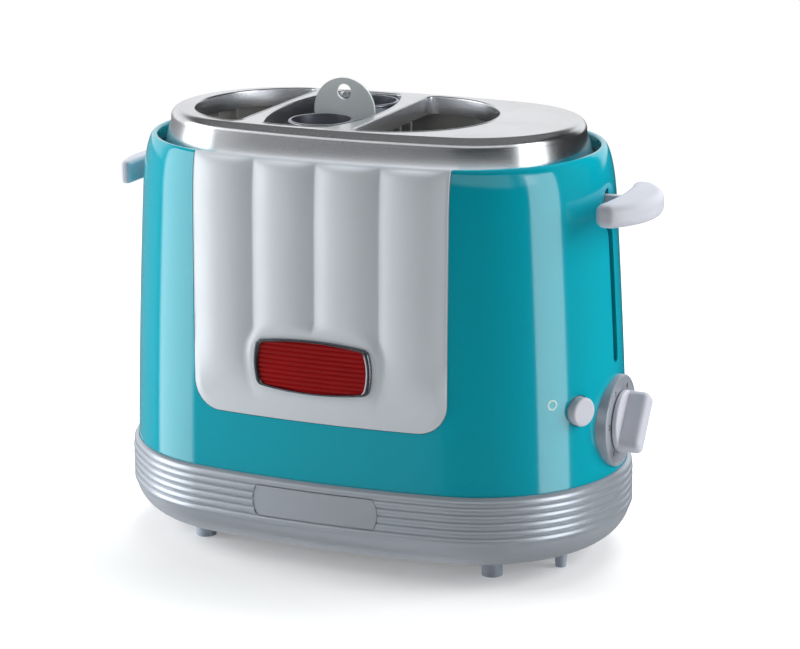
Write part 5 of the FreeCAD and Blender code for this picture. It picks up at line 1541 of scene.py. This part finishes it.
@dataclass(frozen=True)
class Lamp:
    """A soft lamp that polished surfaces and the camera don't see."""

    name: str
    at: tuple[float, float, float]
    aim: tuple[float, float, float]
    size: tuple[float, float]
    watts: float

    def build(self) -> None:
        """Hangs the lamp in its place, aimed."""
        light = bpy.data.lights.new(self.name, "AREA")
        light.shape, light.energy = "RECTANGLE", self.watts
        light.size, light.size_y = self.size
        lamp = bpy.data.objects.new(self.name, light)
        lamp.location = self.at
        lamp.rotation_euler = (Vector(self.aim) - Vector(self.at)).to_track_quat("-Z", "Y").to_euler()
        lamp.visible_camera = False
        lamp.visible_glossy = False
        bpy.context.scene.collection.objects.link(lamp)


@dataclass(frozen=True)
class Studio:
    """A white floor that fades out, a pale room, lamps at both sides and over the top, and the camera."""

    camera_at: tuple[float, float, float] = (0.54668656, -1.23589699, 0.47522295)
    camera_right: tuple[float, float, float] = (0.91726938, 0.39818294, -0.00819999)
    camera_up: tuple[float, float, float] = (-0.09597562, 0.24098175, 0.96577248)
    camera_forward: tuple[float, float, float] = (-0.38653017, 0.88508652, -0.25926104)
    lens: float = 120.65
    sensor: float = 36.0
    boxes: tuple[Softbox, ...] = (   # where boxes overlap, their strengths add up
        Softbox((-92.0, -47.0), (-25.0, 24.0), 5.0, 2.7),
        Softbox((67.0, 95.5), (-25.0, 22.0), 1.6, 3.2),
        Softbox((150.0, 270.0), (0.0, 27.0), 12.0, 0.9),
        Softbox((-50.0, -4.0), (-90.0, 3.0), 8.0, 0.18),
        Softbox((-62.0, 62.0), (10.0, 28.0), 10.0, 0.8),
        Softbox((58.0, 82.0), (11.0, 26.0), 12.0, 1.4),
        Softbox((-160.0, -92.0), (-90.0, -3.0), 6.0, 0.22),
        Softbox((-200.0, 200.0), (42.0, 90.0), 1.0, 0.14),
        Softbox((-200.0, 200.0), (-90.0, -24.0), 1.0, 0.26),
    )
    blur: float = 2.0   # height of the boxes' soft upper and lower edges, in degrees
    room: float = 0.025   # how bright polished surfaces see the room outside the boxes
    ambient: float = 0.24   # how bright the room is to all other surfaces
    lamps: tuple[Lamp, ...] = (
        Lamp("left softbox", (-1.15, -0.25, 0.45), (0.0, 0.0, 0.12), (0.9, 0.9), 19.0),
        Lamp("right softbox", (1.05, 0.42, 0.5), (0.0, 0.0, 0.12), (0.7, 0.9), 13.0),
        Lamp("overhead", (0.0, 0.6, 1.25), (0.0, 0.0, 0.1), (1.2, 0.8), 15.0),
    )
    floor_half: float = 6.0
    floor_tone: float = 0.86
    floor_lift: float = 0.22   # how much brighter the camera sees the floor
    floor_fade: tuple[float, float] = (0.45, 1.3)   # metres between which it turns white

    def _box_light(self, board: Board, box: Softbox, azimuth: Socket, rise: Socket) -> Socket:
        """How much light a softbox sends from a direction: strength, faded at all four edges.

        Args:
            board: The world's board.
            box: The softbox.
            azimuth: The direction's azimuth, from -180 to 180 degrees.
            rise: Its rise over the horizon, in degrees.

        Returns:
            The light.
        """
        (low, high), (bottom, top) = box.azimuths, box.rises
        if box.crosses_back:
            wrapped = board.times(board.maths("LESS_THAN", azimuth, high - 360), 360.0)
            azimuth = board.maths("ADD", azimuth, wrapped)
        inside = board.times(board.spread(azimuth, (low, low + box.soft), (0.0, 1.0), True),
                             board.spread(azimuth, (high - box.soft, high), (1.0, 0.0), True))
        level = board.times(board.spread(rise, (bottom - self.blur, bottom), (0.0, 1.0), True),
                            board.spread(rise, (top, top + self.blur), (1.0, 0.0), True))
        return board.times(board.times(inside, level), box.strength)

    def _world(self) -> None:
        """The room: white to the camera, softboxes to polished surfaces, and an even level to the rest."""
        world = bpy.data.worlds.new("pale room")
        bpy.context.scene.world = world
        world.use_nodes = True
        world.cycles.sampling_method = "NONE"
        world.node_tree.nodes.clear()
        board = Board(world.node_tree)
        ray = board.add("ShaderNodeSeparateXYZ")
        board.put(ray.inputs[0], board.add("ShaderNodeTexCoord").outputs["Generated"])
        x, y, z = ray.outputs
        azimuth = board.maths("DEGREES", board.maths("ARCTAN2", x, board.times(y, -1.0)))
        rise = board.maths("DEGREES", board.maths("ARCSINE", z))
        total = self.room
        for box in self.boxes:
            total = board.maths("ADD", total, self._box_light(board, box, azimuth, rise))
        path = board.add("ShaderNodeLightPath")
        seen = board.maths("MAXIMUM", path.outputs["Is Camera Ray"], path.outputs["Is Transmission Ray"])
        plain = board.white("ShaderNodeBackground", self.ambient)
        mirrored = board.white("ShaderNodeBackground", total)
        unseen = board.mix(path.outputs["Is Glossy Ray"], plain, mirrored)
        surface = board.mix(seen, unseen, board.white("ShaderNodeBackground"))
        board.put(board.add("ShaderNodeOutputWorld").inputs["Surface"], surface)

    def _floor_material(self) -> bpy.types.Material:
        """Diffuse and lifted for the camera, plain white far out, and clear to polished surfaces."""
        made = bpy.data.materials.new("studio floor")
        made.use_nodes = True
        made.node_tree.nodes.clear()
        board = Board(made.node_tree)
        path = board.add("ShaderNodeLightPath")
        seen = path.outputs["Is Camera Ray"]
        diffuse = board.add("ShaderNodeBsdfDiffuse")
        diffuse.inputs["Color"].default_value = (self.floor_tone, self.floor_tone, self.floor_tone, 1)
        both = board.add("ShaderNodeAddShader")
        board.put(both.inputs[0], diffuse.outputs[0])
        board.put(both.inputs[1], board.white("ShaderNodeEmission", board.times(seen, self.floor_lift)))
        distance = board.add("ShaderNodeVectorMath", operation="LENGTH")
        board.put(distance.inputs[0], board.add("ShaderNodeTexCoord").outputs["Object"])
        far = board.times(seen, board.spread(distance.outputs["Value"], self.floor_fade, (0.0, 1.0), True))
        near = board.mix(far, both.outputs[0], board.white("ShaderNodeEmission"))
        clear = board.add("ShaderNodeBsdfTransparent").outputs[0]
        surface = board.mix(path.outputs["Is Glossy Ray"], near, clear)
        board.put(board.add("ShaderNodeOutputMaterial").inputs["Surface"], surface)
        return made

    def _floor(self) -> None:
        """A wide level floor, part of the stage."""
        mesh = bpy.data.meshes.new("floor")
        corners = [(x * self.floor_half, y * self.floor_half, 0) for x, y in BOX_CORNERS]
        mesh.from_pydata(corners, [], [(0, 1, 2, 3)])
        mesh.materials.append(self._floor_material())
        floor = bpy.data.objects.new("studio_floor", mesh)
        bpy.context.scene.collection.objects.link(floor)

    def _camera(self) -> None:
        """The camera, placed by its three axes."""
        data = bpy.data.cameras.new("camera")
        data.lens, data.sensor_width, data.sensor_fit = self.lens, self.sensor, "HORIZONTAL"
        camera = bpy.data.objects.new("camera", data)
        columns = (self.camera_right, self.camera_up, tuple(-v for v in self.camera_forward))
        turn = Matrix(columns).transposed().to_4x4()
        camera.matrix_world = Matrix.Translation(self.camera_at) @ turn
        bpy.context.scene.collection.objects.link(camera)
        bpy.context.scene.camera = camera

    def build(self) -> None:
        """Sets everything up."""
        self._camera()
        self._world()
        self._floor()
        for lamp in self.lamps:
            lamp.build()
        bpy.context.scene.view_settings.view_transform = "Standard"


# ---------------------------------------------------------------- putting it together

LEVERS = (
    Lever("right", 1, root=132.0, tip=128.5, corner_x=138.2, end=32.0, reach=153.0, edge=4.2, rounding=4.6),
    Lever("left", -1, root=132.3, tip=132.6, corner_x=137.42, end=23.0, reach=142.0, edge=2.2, rounding=2.4),
)


def main() -> None:
    """Builds the studio and every sub-assembly in order."""
    logging.basicConfig(level=logging.INFO, format="%(name)s %(message)s")
    assemblies = (Studio(), BodyShell(), FrontPanel(), Badge(), Base(), TopPlate(), *LEVERS, Timer(),
                  StopButton(), KeptParts())
    for assembly in assemblies:
        assembly.build()
        log.info("%s done", type(assembly).__name__)


if __name__ == "__main__":
    main()
